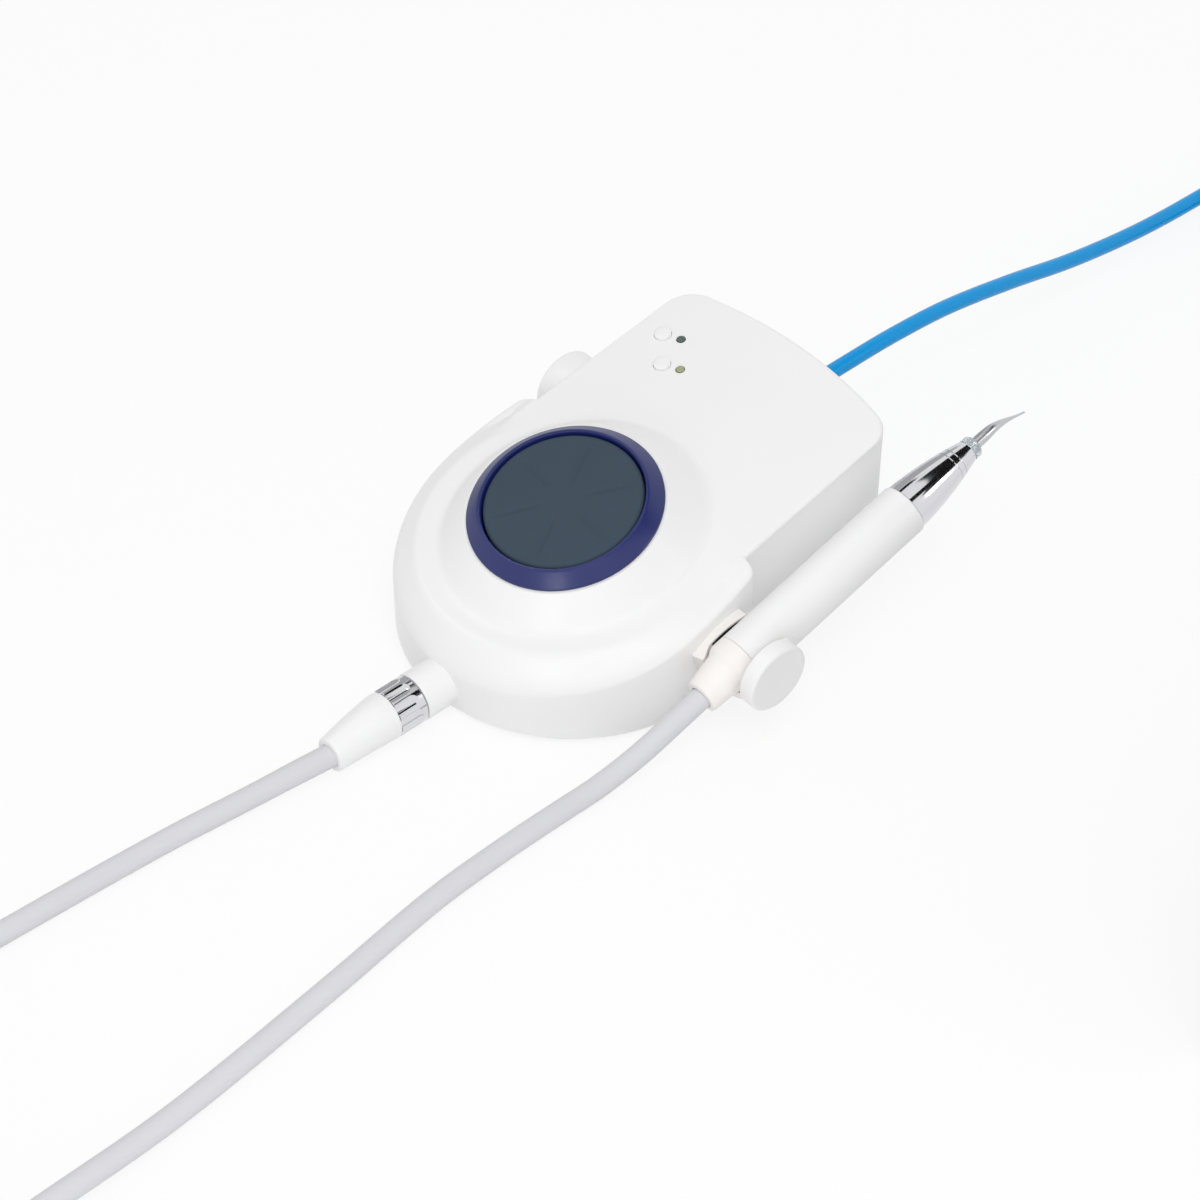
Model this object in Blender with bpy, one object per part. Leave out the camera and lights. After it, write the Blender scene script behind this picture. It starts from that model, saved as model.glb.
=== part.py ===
"""Ultrasonic scaler: a foot-operated base unit with its handpiece, holder, cord and water hose.

Metres, +Z up. The origin is on the floor under the middle of the pedal, -Y is the front and the
handpiece lies along the right-hand (+X) side.
"""

from math import asin, atan2, cos, hypot, pi, radians, sin, sqrt, tan

import bmesh
import bpy
from mathutils import Matrix, Vector

# Clearances
FIT = 0.0003
RUNNING = 0.0004
WELD = 0.000001

# Housing in plan: round front, a step on each side, and a narrower block with a bulged rear
FRONT_RADIUS = 0.0633
FRONT_CENTRE_Y = 0.0032
FLANK_DRAW_IN = 0.0029
STEP_Y = 0.0335
STEP_WIDTH = 0.0058
BLOCK_LENGTH = 0.0723
BLOCK_TAPER = 0.0020
REAR_BULGE = 0.0072
REAR_CORNER_RADIUS = 0.0120
STEP_CORNER_RADIUS = 0.0034
STEP_FILLET = 0.0020

# Housing in height
WALL = 0.0025
DECK_HEIGHT = 0.0413
DECK_SLOPE = radians(10.64)
FRONT_SHOULDER = 0.0030
REAR_SHOULDER = 0.0020
SHELL_FLOOR_GAP = 0.0016
MOUND_SPREAD = 0.0100
MOUND_LENGTH_SPREAD = 0.0140
MOUND_SHIFT = 0.0045
MOUND_LIMIT = 0.70
CREASE = 0.0020
BRIM_INSET = 0.0091
BRIM_WIDTH = 0.0080
BRIM_SOFTNESS = 0.0008
BRIM_DROP = 0.0047
BRIM_TILT = 0.083
BRIM_FADE_START = 0.0255
BRIM_FADE_END = 0.0035
BRIM_STEP_BLEND = 0.0034

# Base
PAD_THICKNESS = 0.0020
PAD_MARGIN = 0.0012
BASE_THICKNESS = 0.0030
BOSS_RADIUS = 0.0048
BOSS_HEIGHT = 0.0140
BOSS_BITE = 0.0010
BOSS_REAR_GAP = 0.0083
BOSS_FRONT_TURN = radians(52)
SCREW_RADIUS = 0.0015
SCREW_HEAD_RADIUS = 0.0024
SCREW_HEAD_HEIGHT = 0.0018
SCREW_LENGTH = 0.0100

# Pedal, in its own tilted frame: heights are above the plane of the bezel's rim
PEDAL_HEIGHT = 0.0530
PEDAL_SLOPE = radians(14.75)
PEDAL_TRAVEL = 0.0030
BEZEL_RADIUS = 0.0350
BEZEL_WIDTH = 0.0062
BEZEL_RISE = 0.0053
BEZEL_EDGE = 0.0006
BEZEL_SKIRT_DEPTH = 0.0070
BEZEL_SKIRT_WALL = 0.0022
SEAT_MARGIN = 0.0010
PAD_TOP_THICKNESS = 0.0060
PAD_CROWN = 0.0006
CARRIER_PLATE = 0.0025
CARRIER_FLANGE = 0.0020
STEM_RADIUS = 0.0050
STEM_REACH = 0.0172
TOWER_RADIUS = 0.0120
TOWER_TOP_DEPTH = 0.0200
SWITCH_DEPTH = 0.0180
SWITCH_BUTTON_RADIUS = 0.0020
SPRING_RADIUS = 0.0090
SPRING_WIRE = 0.0014
SPRING_TURNS = 5

# Deck controls, in the deck's own frame: along X, and up the slope from under the pedal's middle
POWER_LAMP_INSET = 0.0174
POWER_LAMP_UP = 0.0882
LAMP_STEP_X = 0.0104
LAMP_STEP_UP = -0.0102
BUTTON_OFFSET_X = -0.0068
BUTTON_OFFSET_UP = -0.0026
LAMP_RADIUS = 0.0015
LAMP_RISE = 0.0009
BUTTON_RADIUS = 0.0030
BUTTON_RISE = 0.0013
BUTTON_TRAVEL = 0.0010
BUTTON_STEM_DEPTH = 0.0089
BUTTON_FLANGE = 0.0010
KEY_SWITCH_SIZE = 0.0060
KEY_SWITCH_HEIGHT = 0.0035
BUTTON_BOARD_WIDTH = 0.0300
BUTTON_BOARD_LENGTH = 0.0270
BUTTON_BOARD_THICKNESS = 0.0016
BOARD_POST_RADIUS = 0.0020
BOARD_POST_INSET = 0.0032

# Knobs
POWER_KNOB_RADIUS = 0.0133
CLAMP_KNOB_RADIUS = 0.0127
KNOB_EDGE = 0.0010
POWER_KNOB_Y = 0.0567
POWER_KNOB_Z = 0.0348
POWER_KNOB_DEPTH = 0.0110
POWER_KNOB_STANDOFF = 0.0010
POWER_SHAFT_RADIUS = 0.0030
POWER_SHAFT_GRIP = 0.0070
POT_RADIUS = 0.0080
POT_DEPTH = 0.0100
CLAMP_KNOB_DEPTH = 0.0060
CLAMP_KNOB_Y = 0.0118
CLAMP_KNOB_RAISE = 0.0040
CLAMP_STUD_RADIUS = 0.0025
CLAMP_STUD_GRIP = 0.0036

# Handpiece: heights run along its axis from the tail to the tip
HANDPIECE_GAP = 0.00315
HANDPIECE_Z = 0.02564
HANDPIECE_SLOPE = radians(15.37)
HANDPIECE_RADIUS = 0.00955
HANDPIECE_LIFT = 0.0300
TAIL_START = -0.0068
TAIL_LENGTH = 0.0188
TAIL_ROUND = 0.0010
TAIL_SPIGOT = 0.0060
TAIL_BOOT_LENGTH = 0.0103
TAIL_FLARE = 0.0045
TAIL_NECK_RADIUS = 0.0077
TAIL_END_RADIUS = 0.0065
TAIL_SAG = 0.0016
SLEEVE_LENGTH = 0.0803
SLEEVE_WALL = 0.0015
NOSE_LENGTH = 0.0310
NOSE_END_RADIUS = 0.0042
NOSE_WALL = 0.0011
CONVERTER_GAP = 0.00105
HORN_RADIUS = 0.0026
LAMP_RING_LENGTH = 0.0036
TIP_RADIUS = 0.0022
TIP_POINT_RADIUS = 0.0004
TIP_LENGTH = 0.0240
TIP_HOOK = 0.0080

# Holder
HOLDER_START = 0.0020
HOLDER_LENGTH = 0.0235
HOLDER_SLANT = 0.0037
HOLDER_WALL = 0.0022
HOLDER_JAW_RISE = 0.0080
HOLDER_INNER_JAW_RISE = 0.0042
HOLDER_WEB_DROP = 0.0060
PEG_RADIUS = 0.0020
PEG_SPACING = 0.0150
PEG_REACH = 0.0030

# Front connector: heights run outwards along its axis from the housing's front
CONNECTOR_X = 0.0017
CONNECTOR_Z = 0.0097
COLLAR_RADIUS = 0.00905
COLLAR_LENGTH = 0.0114
COLLAR_WALL = 0.0012
SOCKET_DEPTH = 0.0140
SOCKET_REAR_RADIUS = 0.0040
RING_LENGTH = 0.0113
RING_RADIUS = 0.0089
RING_WALL = 0.0016
RELIEF_LENGTH = 0.0248
RELIEF_RADIUS = 0.00875
RELIEF_END_RADIUS = 0.00645
RELIEF_SHANK = 0.0031
RELIEF_SAG = 0.0026
PLUG_SPIGOT = 0.0024

# Handpiece cord
CORD_RADIUS = 0.0040
CORD_FRONT_YAW = radians(9)
CORD_FRONT_DIP = radians(4)
CORD_TAIL_YAW = radians(5)
CORD_TAIL_DIP = radians(24)
CORD_COIL_X = 0.0400
CORD_COIL_Y = -0.3500
CORD_COIL_RADIUS = 0.0526
CORD_COIL_TURNS = 2

# Water hose
HOSE_RADIUS = 0.0030
HOSE_Z = 0.0399
HOSE_COIL_X = 0.0420
HOSE_COIL_Y = 0.3780
HOSE_COIL_RADIUS = 0.0412
HOSE_COIL_TURNS = 2.5
INLET_NUT_RADIUS = 0.0065
INLET_NUT_DEPTH = 0.0040
INLET_COLLAR_RADIUS = 0.0052
INLET_COLLAR_LENGTH = 0.0080
INLET_SPIGOT_RADIUS = 0.0038
INLET_SPIGOT_DEPTH = 0.0100
FITTING_RADIUS = 0.0044
FITTING_LENGTH = 0.0260

# Coils
COIL_GAP = 0.0008
COIL_POINTS = 24
LEAST_COIL_GAP = 0.0004
TIE_THICKNESS = 0.0010
TIE_WIDTH = 0.0080

# Power inlet
INLET_X = -0.0300
INLET_Z = 0.0220
JACK_RADIUS = 0.0055
JACK_FLANGE = 0.0015
JACK_FLANGE_RADIUS = 0.0070
JACK_BORE_RADIUS = 0.0032
JACK_BORE_DEPTH = 0.0090
JACK_PIN_RADIUS = 0.0010
JACK_DEPTH = 0.0130

# Parts on the base plate
STANDOFF_RADIUS = 0.0030
STANDOFF_HEIGHT = 0.0060
STANDOFF_INSET = 0.0050
MAIN_BOARD_X = -0.0150
MAIN_BOARD_Y = 0.0660
MAIN_BOARD_WIDTH = 0.0520
MAIN_BOARD_LENGTH = 0.0460
MAIN_BOARD_THICKNESS = 0.0016
TRANSFORMER_WIDTH = 0.0260
TRANSFORMER_LENGTH = 0.0220
TRANSFORMER_HEIGHT = 0.0200
HEAT_SINK_WIDTH = 0.0180
HEAT_SINK_LENGTH = 0.0180
HEAT_SINK_HEIGHT = 0.0180
HEAT_SINK_FOOT = 0.0030
HEAT_SINK_FINS = 5
BOARD_EDGE_MARGIN = 0.0030
VALVE_X = 0.0290
VALVE_Y = 0.0640
VALVE_WIDTH = 0.0220
VALVE_LENGTH = 0.0260
VALVE_HEIGHT = 0.0140
VALVE_COIL_RADIUS = 0.0090
VALVE_COIL_HEIGHT = 0.0200
TUBE_RADIUS = 0.0025

# Heights and places that follow from the sizes above
BASE_Z = PAD_THICKNESS + FIT
BASE_TOP = BASE_Z + BASE_THICKNESS
STEP_HALF_WIDTH = FRONT_RADIUS - FLANK_DRAW_IN
BLOCK_FRONT_HALF_WIDTH = STEP_HALF_WIDTH - STEP_WIDTH
BLOCK_REAR_HALF_WIDTH = BLOCK_FRONT_HALF_WIDTH - BLOCK_TAPER
BLOCK_CORNER_Y = STEP_Y + BLOCK_LENGTH
BOSS_REAR_Y = BLOCK_CORNER_Y - BOSS_REAR_GAP
POWER_LAMP_X = POWER_LAMP_INSET - BLOCK_REAR_HALF_WIDTH
HANDPIECE_X = FRONT_RADIUS + HANDPIECE_GAP + HANDPIECE_RADIUS
CONVERTER_RADIUS = HANDPIECE_RADIUS - SLEEVE_WALL - CONVERTER_GAP
SEAT_RADIUS = BEZEL_RADIUS + SEAT_MARGIN
MOUND_HALF_WIDTH = SEAT_RADIUS + MOUND_SPREAD
MOUND_HALF_LENGTH = SEAT_RADIUS + MOUND_LENGTH_SPREAD
BRIM_RADIUS = FRONT_RADIUS - BRIM_INSET
BEZEL_BORE = BEZEL_RADIUS - BEZEL_WIDTH
SKIRT_RADIUS = BEZEL_BORE + BEZEL_SKIRT_WALL
OPENING_RADIUS = SKIRT_RADIUS + RUNNING
CONNECTOR_Y = FRONT_CENTRE_Y - FRONT_RADIUS
REAR_Y = BLOCK_CORNER_Y + REAR_BULGE
REAR_RADIUS = (BLOCK_REAR_HALF_WIDTH**2 + REAR_BULGE**2) / (2 * REAR_BULGE)
CHANNEL_RADIUS = HANDPIECE_RADIUS + RUNNING
HOLDER_RADIUS = CHANNEL_RADIUS + HOLDER_WALL
CLAMP_KNOB_X = HANDPIECE_X + HOLDER_RADIUS
CLAMP_KNOB_Z = HANDPIECE_Z + CLAMP_KNOB_Y * tan(HANDPIECE_SLOPE) + CLAMP_KNOB_RAISE
BUTTON_BOARD_TOP = -(BUTTON_STEM_DEPTH + BUTTON_TRAVEL + FIT + KEY_SWITCH_HEIGHT + FIT)


def ease(low, high, value):
    """Smooth step from 0 at low to 1 at high."""
    share = min(max((value - low) / (high - low), 0.0), 1.0)
    return share * share * (3 - 2 * share)


def material(name, colour, roughness, metallic=0.0):
    """Principled material with a plain colour."""
    made = bpy.data.materials.new(name)
    made.use_nodes = True
    shader = made.node_tree.nodes["Principled BSDF"]
    shader.inputs["Base Color"].default_value = (*colour, 1.0)
    shader.inputs["Roughness"].default_value = roughness
    shader.inputs["Metallic"].default_value = metallic
    return made


def frame(name, location, turn=(0.0, 0.0, 0.0)):
    """Empty that carries the pieces on one axis, whose direction is its local Z."""
    empty = bpy.data.objects.new(name, None)
    empty.location = location
    empty.rotation_euler = turn
    bpy.context.collection.objects.link(empty)
    return empty


def piece(name, data, colour, parent=None):
    """One named sub-part in the scene, shaded smooth up to a sharp angle."""
    made = bpy.data.objects.new(name, data)
    if isinstance(data, bpy.types.Mesh):
        data.shade_smooth()
        data.set_sharp_from_angle(angle=radians(35))
    if colour is not None:
        data.materials.append(colour)
    made.parent = parent
    bpy.context.collection.objects.link(made)
    return made


def mesh_from(name, bm):
    """Mesh of a closed bmesh, with its faces pointing out."""
    bmesh.ops.remove_doubles(bm, verts=bm.verts, dist=WELD)
    bmesh.ops.recalc_face_normals(bm, faces=bm.faces)
    data = bpy.data.meshes.new(name)
    bm.to_mesh(data)
    bm.free()
    return data


def turned(name, profile, steps=32):
    """Mesh of a profile of (radius, height) points spun round Z; it closes on itself off the axis."""
    bm = bmesh.new()
    points = [bm.verts.new((radius, 0.0, height)) for radius, height in profile]
    edges = [bm.edges.new(pair) for pair in zip(points, points[1:])]
    if profile[0][0] > 0:
        edges.append(bm.edges.new((points[-1], points[0])))
    bmesh.ops.spin(
        bm, geom=points + edges, cent=(0, 0, 0), axis=(0, 0, 1), angle=2 * pi, steps=steps, use_merge=True
    )
    return mesh_from(name, bm)


def lean(data, start, stop, reach):
    """Move a turned mesh along Y, in proportion from nothing at one height to the reach at the other."""
    for vertex in data.vertices:
        share = (vertex.co.z - start) / (stop - start)
        vertex.co.y += reach * min(max(share, 0), 1)


def prism(name, points, low, high):
    """Mesh of a flat outline drawn up from one height to another."""
    bm = bmesh.new()
    floor = bm.faces.new([bm.verts.new((x, y, low)) for x, y in points])
    raised = bmesh.ops.extrude_face_region(bm, geom=[floor])["geom"]
    corners = [item for item in raised if isinstance(item, bmesh.types.BMVert)]
    bmesh.ops.translate(bm, verts=corners, vec=(0, 0, high - low))
    return mesh_from(name, bm)


def block(name, low, high, round_edge=0.0):
    """Mesh of a box between two corners, with rounded edges where asked."""
    bm = bmesh.new()
    size = [b - a for a, b in zip(low, high)]
    middle = [(a + b) / 2 for a, b in zip(low, high)]
    bmesh.ops.create_cube(bm, size=1.0, matrix=Matrix.Translation(middle) @ Matrix.Diagonal((*size, 1.0)))
    if round_edge:
        bmesh.ops.bevel(bm, geom=bm.edges[:], offset=round_edge, segments=2, affect="EDGES", profile=0.5)
    return mesh_from(name, bm)


def rod(name, radius, low, high, steps=20):
    """Mesh of a plain round bar along Z."""
    return turned(name, [(0, high), (radius, high), (radius, low), (0, low)], steps)


def cutter(name, data, parent=None):
    """Shape that only cuts or joins another piece."""
    made = piece(name, data, None, parent)
    made.hide_render = True
    made.display_type = "WIRE"
    return made


def combine(target, tool, operation):
    """Boolean of a piece with a cutter."""
    step = target.modifiers.new(tool.name, "BOOLEAN")
    step.operation = operation
    step.object = tool
    step.solver = "EXACT"


def tube(name, route, radius, colour, resolution, parent=None):
    """Round bar along a route, with flat filled ends."""
    data = bpy.data.curves.new(name, "CURVE")
    data.dimensions = "3D"
    data.bevel_depth = radius
    data.bevel_resolution = resolution
    data.use_fill_caps = True
    spline = data.splines.new("POLY")
    spline.points.add(len(route) - 1)
    for point, place in zip(spline.points, route):
        point.co = (*place, 1.0)
    spline.use_smooth = True
    return piece(name, data, colour, parent)


def smooth_route(points, spacing):
    """Evenly spaced points on the smooth curve through a route, whose two end runs stay straight."""
    knots = [Vector(p) for p in points]
    fine = []
    for before, start, stop, after in zip(knots, knots[1:], knots[2:], knots[3:]):
        reach = (stop - start).length
        slope_in = (stop - before).normalized() * reach
        slope_out = (after - start).normalized() * reach
        for share in (n / 24 for n in range(24)):
            rest = 1 - share
            fine.append(
                start * (rest * rest * (1 + 2 * share))
                + slope_in * (share * rest * rest)
                + stop * (share * share * (3 - 2 * share))
                - slope_out * (share * share * rest)
            )
    fine.append(knots[-2])
    length = sum((b - a).length for a, b in zip(fine, fine[1:]))
    step = length / max(2, round(length / spacing))
    kept, travelled = [fine[0]], 0.0
    for a, b in zip(fine, fine[1:]):
        travelled += (b - a).length
        if travelled >= step * len(kept) - WELD and len(kept) * step < length - step / 2:
            kept.append(b)
    return [knots[0], *kept, fine[-1], knots[-1]]


# Housing outline

def fillet(before, corner, after, radius, steps):
    """Arc that rounds the corner between two straight runs."""
    here = Vector(corner)
    back, on = (Vector(before) - here).normalized(), (Vector(after) - here).normalized()
    half = back.angle(on) / 2
    centre = here + (back + on).normalized() * radius / sin(half)
    first = here + back * radius / tan(half) - centre
    last = here + on * radius / tan(half) - centre
    sweep = atan2(first.x * last.y - first.y * last.x, first.dot(last))
    turns = [Matrix.Rotation(sweep * n / steps, 2) for n in range(steps + 1)]
    return [centre + turn @ first for turn in turns]


def flank_points(steps):
    """Right flank from the front's widest place to the step, leaving the front square to X."""
    rise, draw_in = STEP_Y - FRONT_CENTRE_Y, FRONT_RADIUS - STEP_HALF_WIDTH
    radius = (rise**2 + draw_in**2) / (2 * draw_in)
    full = asin(rise / radius)
    bends = [full * n / steps for n in range(1, steps + 1)]
    middle = FRONT_RADIUS - radius
    return [Vector((middle + radius * cos(b), FRONT_CENTRE_Y + radius * sin(b))) for b in bends]


def right_half():
    """Outline of the housing's right half, from the middle of its front to the middle of its rear."""
    front = [
        Vector((FRONT_RADIUS * sin(pi / 2 * n / 11), FRONT_CENTRE_Y - FRONT_RADIUS * cos(pi / 2 * n / 11)))
        for n in range(12)
    ]
    flank = flank_points(4)
    outer, inner = flank[-1], Vector((BLOCK_FRONT_HALF_WIDTH, STEP_Y))
    corner = Vector((BLOCK_REAR_HALF_WIDTH, BLOCK_CORNER_Y))
    reach = asin(BLOCK_REAR_HALF_WIDTH / REAR_RADIUS)
    rear = [
        Vector((REAR_RADIUS * sin(reach * n / 6), REAR_Y - REAR_RADIUS + REAR_RADIUS * cos(reach * n / 6)))
        for n in range(6)
    ]
    step = [
        *fillet(flank[-2], outer, inner, STEP_CORNER_RADIUS, 2),
        *fillet(outer, inner, corner, STEP_FILLET, 2),
    ]
    turn = fillet(inner, corner, rear[-1], REAR_CORNER_RADIUS, 4)
    side = [step[-1].lerp(turn[0], n / 6) for n in range(1, 6)]
    return [*front, *flank[:-1], *step, *side, *turn, *reversed(rear[:5])]


def outline(offset=0.0):
    """Closed outline of the housing, anticlockwise from the front, moved outwards by an offset."""
    right = right_half()
    loop = [*right, *(Vector((-p.x, p.y)) for p in reversed(right[1:-1]))]
    moved = []
    for n, point in enumerate(loop):
        along = (loop[(n + 1) % len(loop)] - loop[n - 1]).normalized()
        moved.append(point + Vector((along.y, -along.x)) * offset)
    return moved


def block_half_width(y):
    """Half width of the rear block at a distance behind the pedal's middle."""
    taper = (BLOCK_FRONT_HALF_WIDTH - BLOCK_REAR_HALF_WIDTH) / (BLOCK_CORNER_Y - STEP_Y)
    return BLOCK_FRONT_HALF_WIDTH - (y - STEP_Y) * taper


# Housing top

def deck_z(y):
    """Height of the flat rear deck."""
    return DECK_HEIGHT + y * tan(DECK_SLOPE)


def foot_radius(cosine, sine):
    """Radius in the pedal's plane from its axis to the oval foot of the mound, in a direction."""
    square = (cosine / MOUND_HALF_WIDTH) ** 2 + (sine / MOUND_HALF_LENGTH) ** 2
    lean = MOUND_SHIFT * sine / MOUND_HALF_LENGTH**2
    return (lean + sqrt(lean**2 + square * (1 - (MOUND_SHIFT / MOUND_HALF_LENGTH) ** 2))) / square


def brim_drop(x, y, radius):
    """How far the brim round the front and the flanks falls below the plane of the deck."""
    past = radius - BRIM_RADIUS
    share = min((hypot(past, BRIM_SOFTNESS) + past) / 2 / BRIM_WIDTH, 1.0)
    aside = ease(BLOCK_FRONT_HALF_WIDTH, BLOCK_FRONT_HALF_WIDTH + BRIM_STEP_BLEND, abs(x))
    share *= 1 - ease(STEP_Y - BRIM_FADE_START, STEP_Y - BRIM_FADE_END, y) * (1 - aside)
    return share * (BRIM_DROP - BRIM_TILT * y)


def top_z(x, y):
    """Height of the housing's outer top surface, before its shoulder is rounded."""
    along = y / cos(PEDAL_SLOPE)
    radius = hypot(x, along)
    cosine, sine = x / radius, along / radius
    foot = foot_radius(cosine, sine)
    seat = PEDAL_HEIGHT + SEAT_RADIUS * sine * sin(PEDAL_SLOPE)
    ground = deck_z(foot * sine * cos(PEDAL_SLOPE))
    mound = seat + (ground - seat) * (radius - SEAT_RADIUS) / (foot - SEAT_RADIUS)
    near = max(CREASE - abs(mound - deck_z(y)), 0.0)
    return max(mound, deck_z(y)) + near**2 / (4 * CREASE) - brim_drop(x, y, radius)


def pedal_circle(heading, radius, height):
    """Point above a heading in plan, on a circle round the pedal's axis."""
    turn = atan2(heading.y / cos(PEDAL_SLOPE), heading.x)
    flat = Vector((radius * cos(turn), radius * sin(turn), height))
    return Matrix.Rotation(PEDAL_SLOPE, 3, "X") @ flat + Vector((0, 0, PEDAL_HEIGHT))


def shell_rings():
    """Rings of points that run out over the top, down the wall, and back under the top."""
    rim, inside = outline(), outline(-WALL)
    headings = [p.normalized() for p in rim]
    stretch = [hypot(h.x, h.y / cos(PEDAL_SLOPE)) for h in headings]
    shoulder = []
    for n, point in enumerate(rim):
        square = (point - inside[n]).normalized().dot(headings[n])
        rearwards = ease(-SEAT_RADIUS / 3, SEAT_RADIUS, point.y)
        size = FRONT_SHOULDER + (REAR_SHOULDER - FRONT_SHOULDER) * rearwards
        shoulder.append(size * max(square, 0.4))

    def on_top(reach, drop):
        spots = [h * reach(n) for n, h in enumerate(headings)]
        return [Vector((p.x, p.y, top_z(p.x, p.y) - drop(n))) for n, p in enumerate(spots)]

    def past_foot(share, edge):
        """Reach from the seat to the mound's foot for shares up to 1, and on to an edge up to 2."""
        def reach(n):
            near, far = SEAT_RADIUS / stretch[n], edge(n)
            cosine, sine = headings[n].x / stretch[n], headings[n].y / cos(PEDAL_SLOPE) / stretch[n]
            foot = min(foot_radius(cosine, sine) / stretch[n], near + (far - near) * MOUND_LIMIT)
            return near + (foot - near) * min(share, 1) + (far - foot) * max(share - 1, 0)

        return reach

    def flat_edge(n):
        return rim[n].length - shoulder[n]

    def inner_edge(n):
        return inside[n].length - shoulder[n] - WALL

    rings = [
        [pedal_circle(h, OPENING_RADIUS, 0.0) for h in headings],
        [pedal_circle(h, SEAT_RADIUS, 0.0) for h in headings],
    ]
    for share in (0.5, 0.88, 1.08, 1.38, 1.57, 1.8):
        rings.append(on_top(past_foot(share, flat_edge), lambda _: 0.0))
    for bend in (0, pi / 6, pi / 3, pi / 2):
        rings.append(
            on_top(
                lambda n, bend=bend: rim[n].length - shoulder[n] * (1 - sin(bend)),
                lambda n, bend=bend: shoulder[n] * (1 - cos(bend)),
            )
        )
    rings.append([Vector((p.x, p.y, SHELL_FLOOR_GAP)) for p in rim])
    rings.append([Vector((p.x, p.y, SHELL_FLOOR_GAP)) for p in inside])
    ceiling = [top_z(p.x, p.y) - shoulder[n] - WALL / 2 for n, p in enumerate(inside)]
    rings.append([Vector((p.x, p.y, height)) for p, height in zip(inside, ceiling)])
    rings.append(on_top(inner_edge, lambda _: WALL * 1.08))
    for share in (1.5, 1.0, 0.35):
        rings.append(on_top(past_foot(share, inner_edge), lambda _: WALL * 1.15))
    rings.append([pedal_circle(h, OPENING_RADIUS, -WALL) for h in headings])
    return rings


def lofted(name, rings):
    """Closed mesh through rings of points, the last ring joined to the first."""
    bm = bmesh.new()
    loops = [[bm.verts.new(p) for p in ring] for ring in rings]
    for ring, following in zip(loops, [*loops[1:], loops[0]]):
        for n in range(len(ring)):
            bm.faces.new((ring[n - 1], ring[n], following[n], following[n - 1]))
    return mesh_from(name, bm)


def boss_places():
    """Middles of the four screw bosses, each set into the inner side of the wall."""
    inset = WALL + BOSS_RADIUS - BOSS_BITE
    places = []
    for side in (1, -1):
        places.append((side * (block_half_width(BOSS_REAR_Y) - inset), BOSS_REAR_Y))
        reach = FRONT_RADIUS - inset
        places.append((side * reach * sin(BOSS_FRONT_TURN), FRONT_CENTRE_Y - reach * cos(BOSS_FRONT_TURN)))
    return places


def make_housing(paint):
    """Upper shell with its screw bosses."""
    shell = piece("top_shell", lofted("top_shell", shell_rings()), paint["white"])
    low, pilot = BASE_TOP + FIT, SCREW_RADIUS + FIT
    profile = [
        (0, low + BOSS_HEIGHT),
        (BOSS_RADIUS, low + BOSS_HEIGHT),
        (BOSS_RADIUS, low),
        (pilot, low),
        (pilot, low + SCREW_LENGTH),
        (0, low + SCREW_LENGTH),
    ]
    for n, (x, y) in enumerate(boss_places()):
        boss = cutter(f"boss_{n + 1}", turned("boss", profile, 16))
        boss.location = (x, y, 0)
        combine(shell, boss, "UNION")
    return shell


def make_base(paint):
    """Base plate with board standoffs, the rubber pad under it and the four case screws."""
    plate = piece("base_plate", prism("base_plate", outline(-WALL - FIT), BASE_Z, BASE_TOP), paint["grey"])
    pad = prism("base_pad", outline(-WALL - FIT - PAD_MARGIN), 0, PAD_THICKNESS)
    piece("base_pad", pad, paint["rubber"])
    reach_x = MAIN_BOARD_WIDTH / 2 - STANDOFF_INSET
    reach_y = MAIN_BOARD_LENGTH / 2 - STANDOFF_INSET
    for n, (side, end) in enumerate(((1, 1), (1, -1), (-1, 1), (-1, -1))):
        post = cutter(
            f"standoff_{n + 1}",
            rod("standoff", STANDOFF_RADIUS, BASE_TOP - BASE_THICKNESS / 2, BASE_TOP + STANDOFF_HEIGHT, 12),
        )
        post.location = (MAIN_BOARD_X + side * reach_x, MAIN_BOARD_Y + end * reach_y, 0)
        combine(plate, post, "UNION")
    head_top = BASE_Z + SCREW_HEAD_HEIGHT
    hole = SCREW_RADIUS + FIT
    seat = SCREW_HEAD_RADIUS + FIT
    hole_profile = [
        (0, BASE_TOP + FIT),
        (hole, BASE_TOP + FIT),
        (hole, head_top + FIT),
        (seat, head_top + FIT),
        (seat, BASE_Z - FIT),
        (0, BASE_Z - FIT),
    ]
    screw_profile = [
        (0, BASE_TOP + SCREW_LENGTH),
        (SCREW_RADIUS, BASE_TOP + SCREW_LENGTH - SCREW_RADIUS),
        (SCREW_RADIUS, head_top),
        (SCREW_HEAD_RADIUS, head_top),
        (SCREW_HEAD_RADIUS, BASE_Z),
        (0, BASE_Z),
    ]
    for n, (x, y) in enumerate(boss_places()):
        hole_cut = cutter(f"screw_hole_{n + 1}", turned("screw_hole", hole_profile, 16))
        hole_cut.location = (x, y, 0)
        combine(plate, hole_cut, "DIFFERENCE")
        screw = piece(f"case_screw_{n + 1}", turned("case_screw", screw_profile, 12), paint["steel"])
        screw.location = (x, y, 0)


# Pedal

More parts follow.
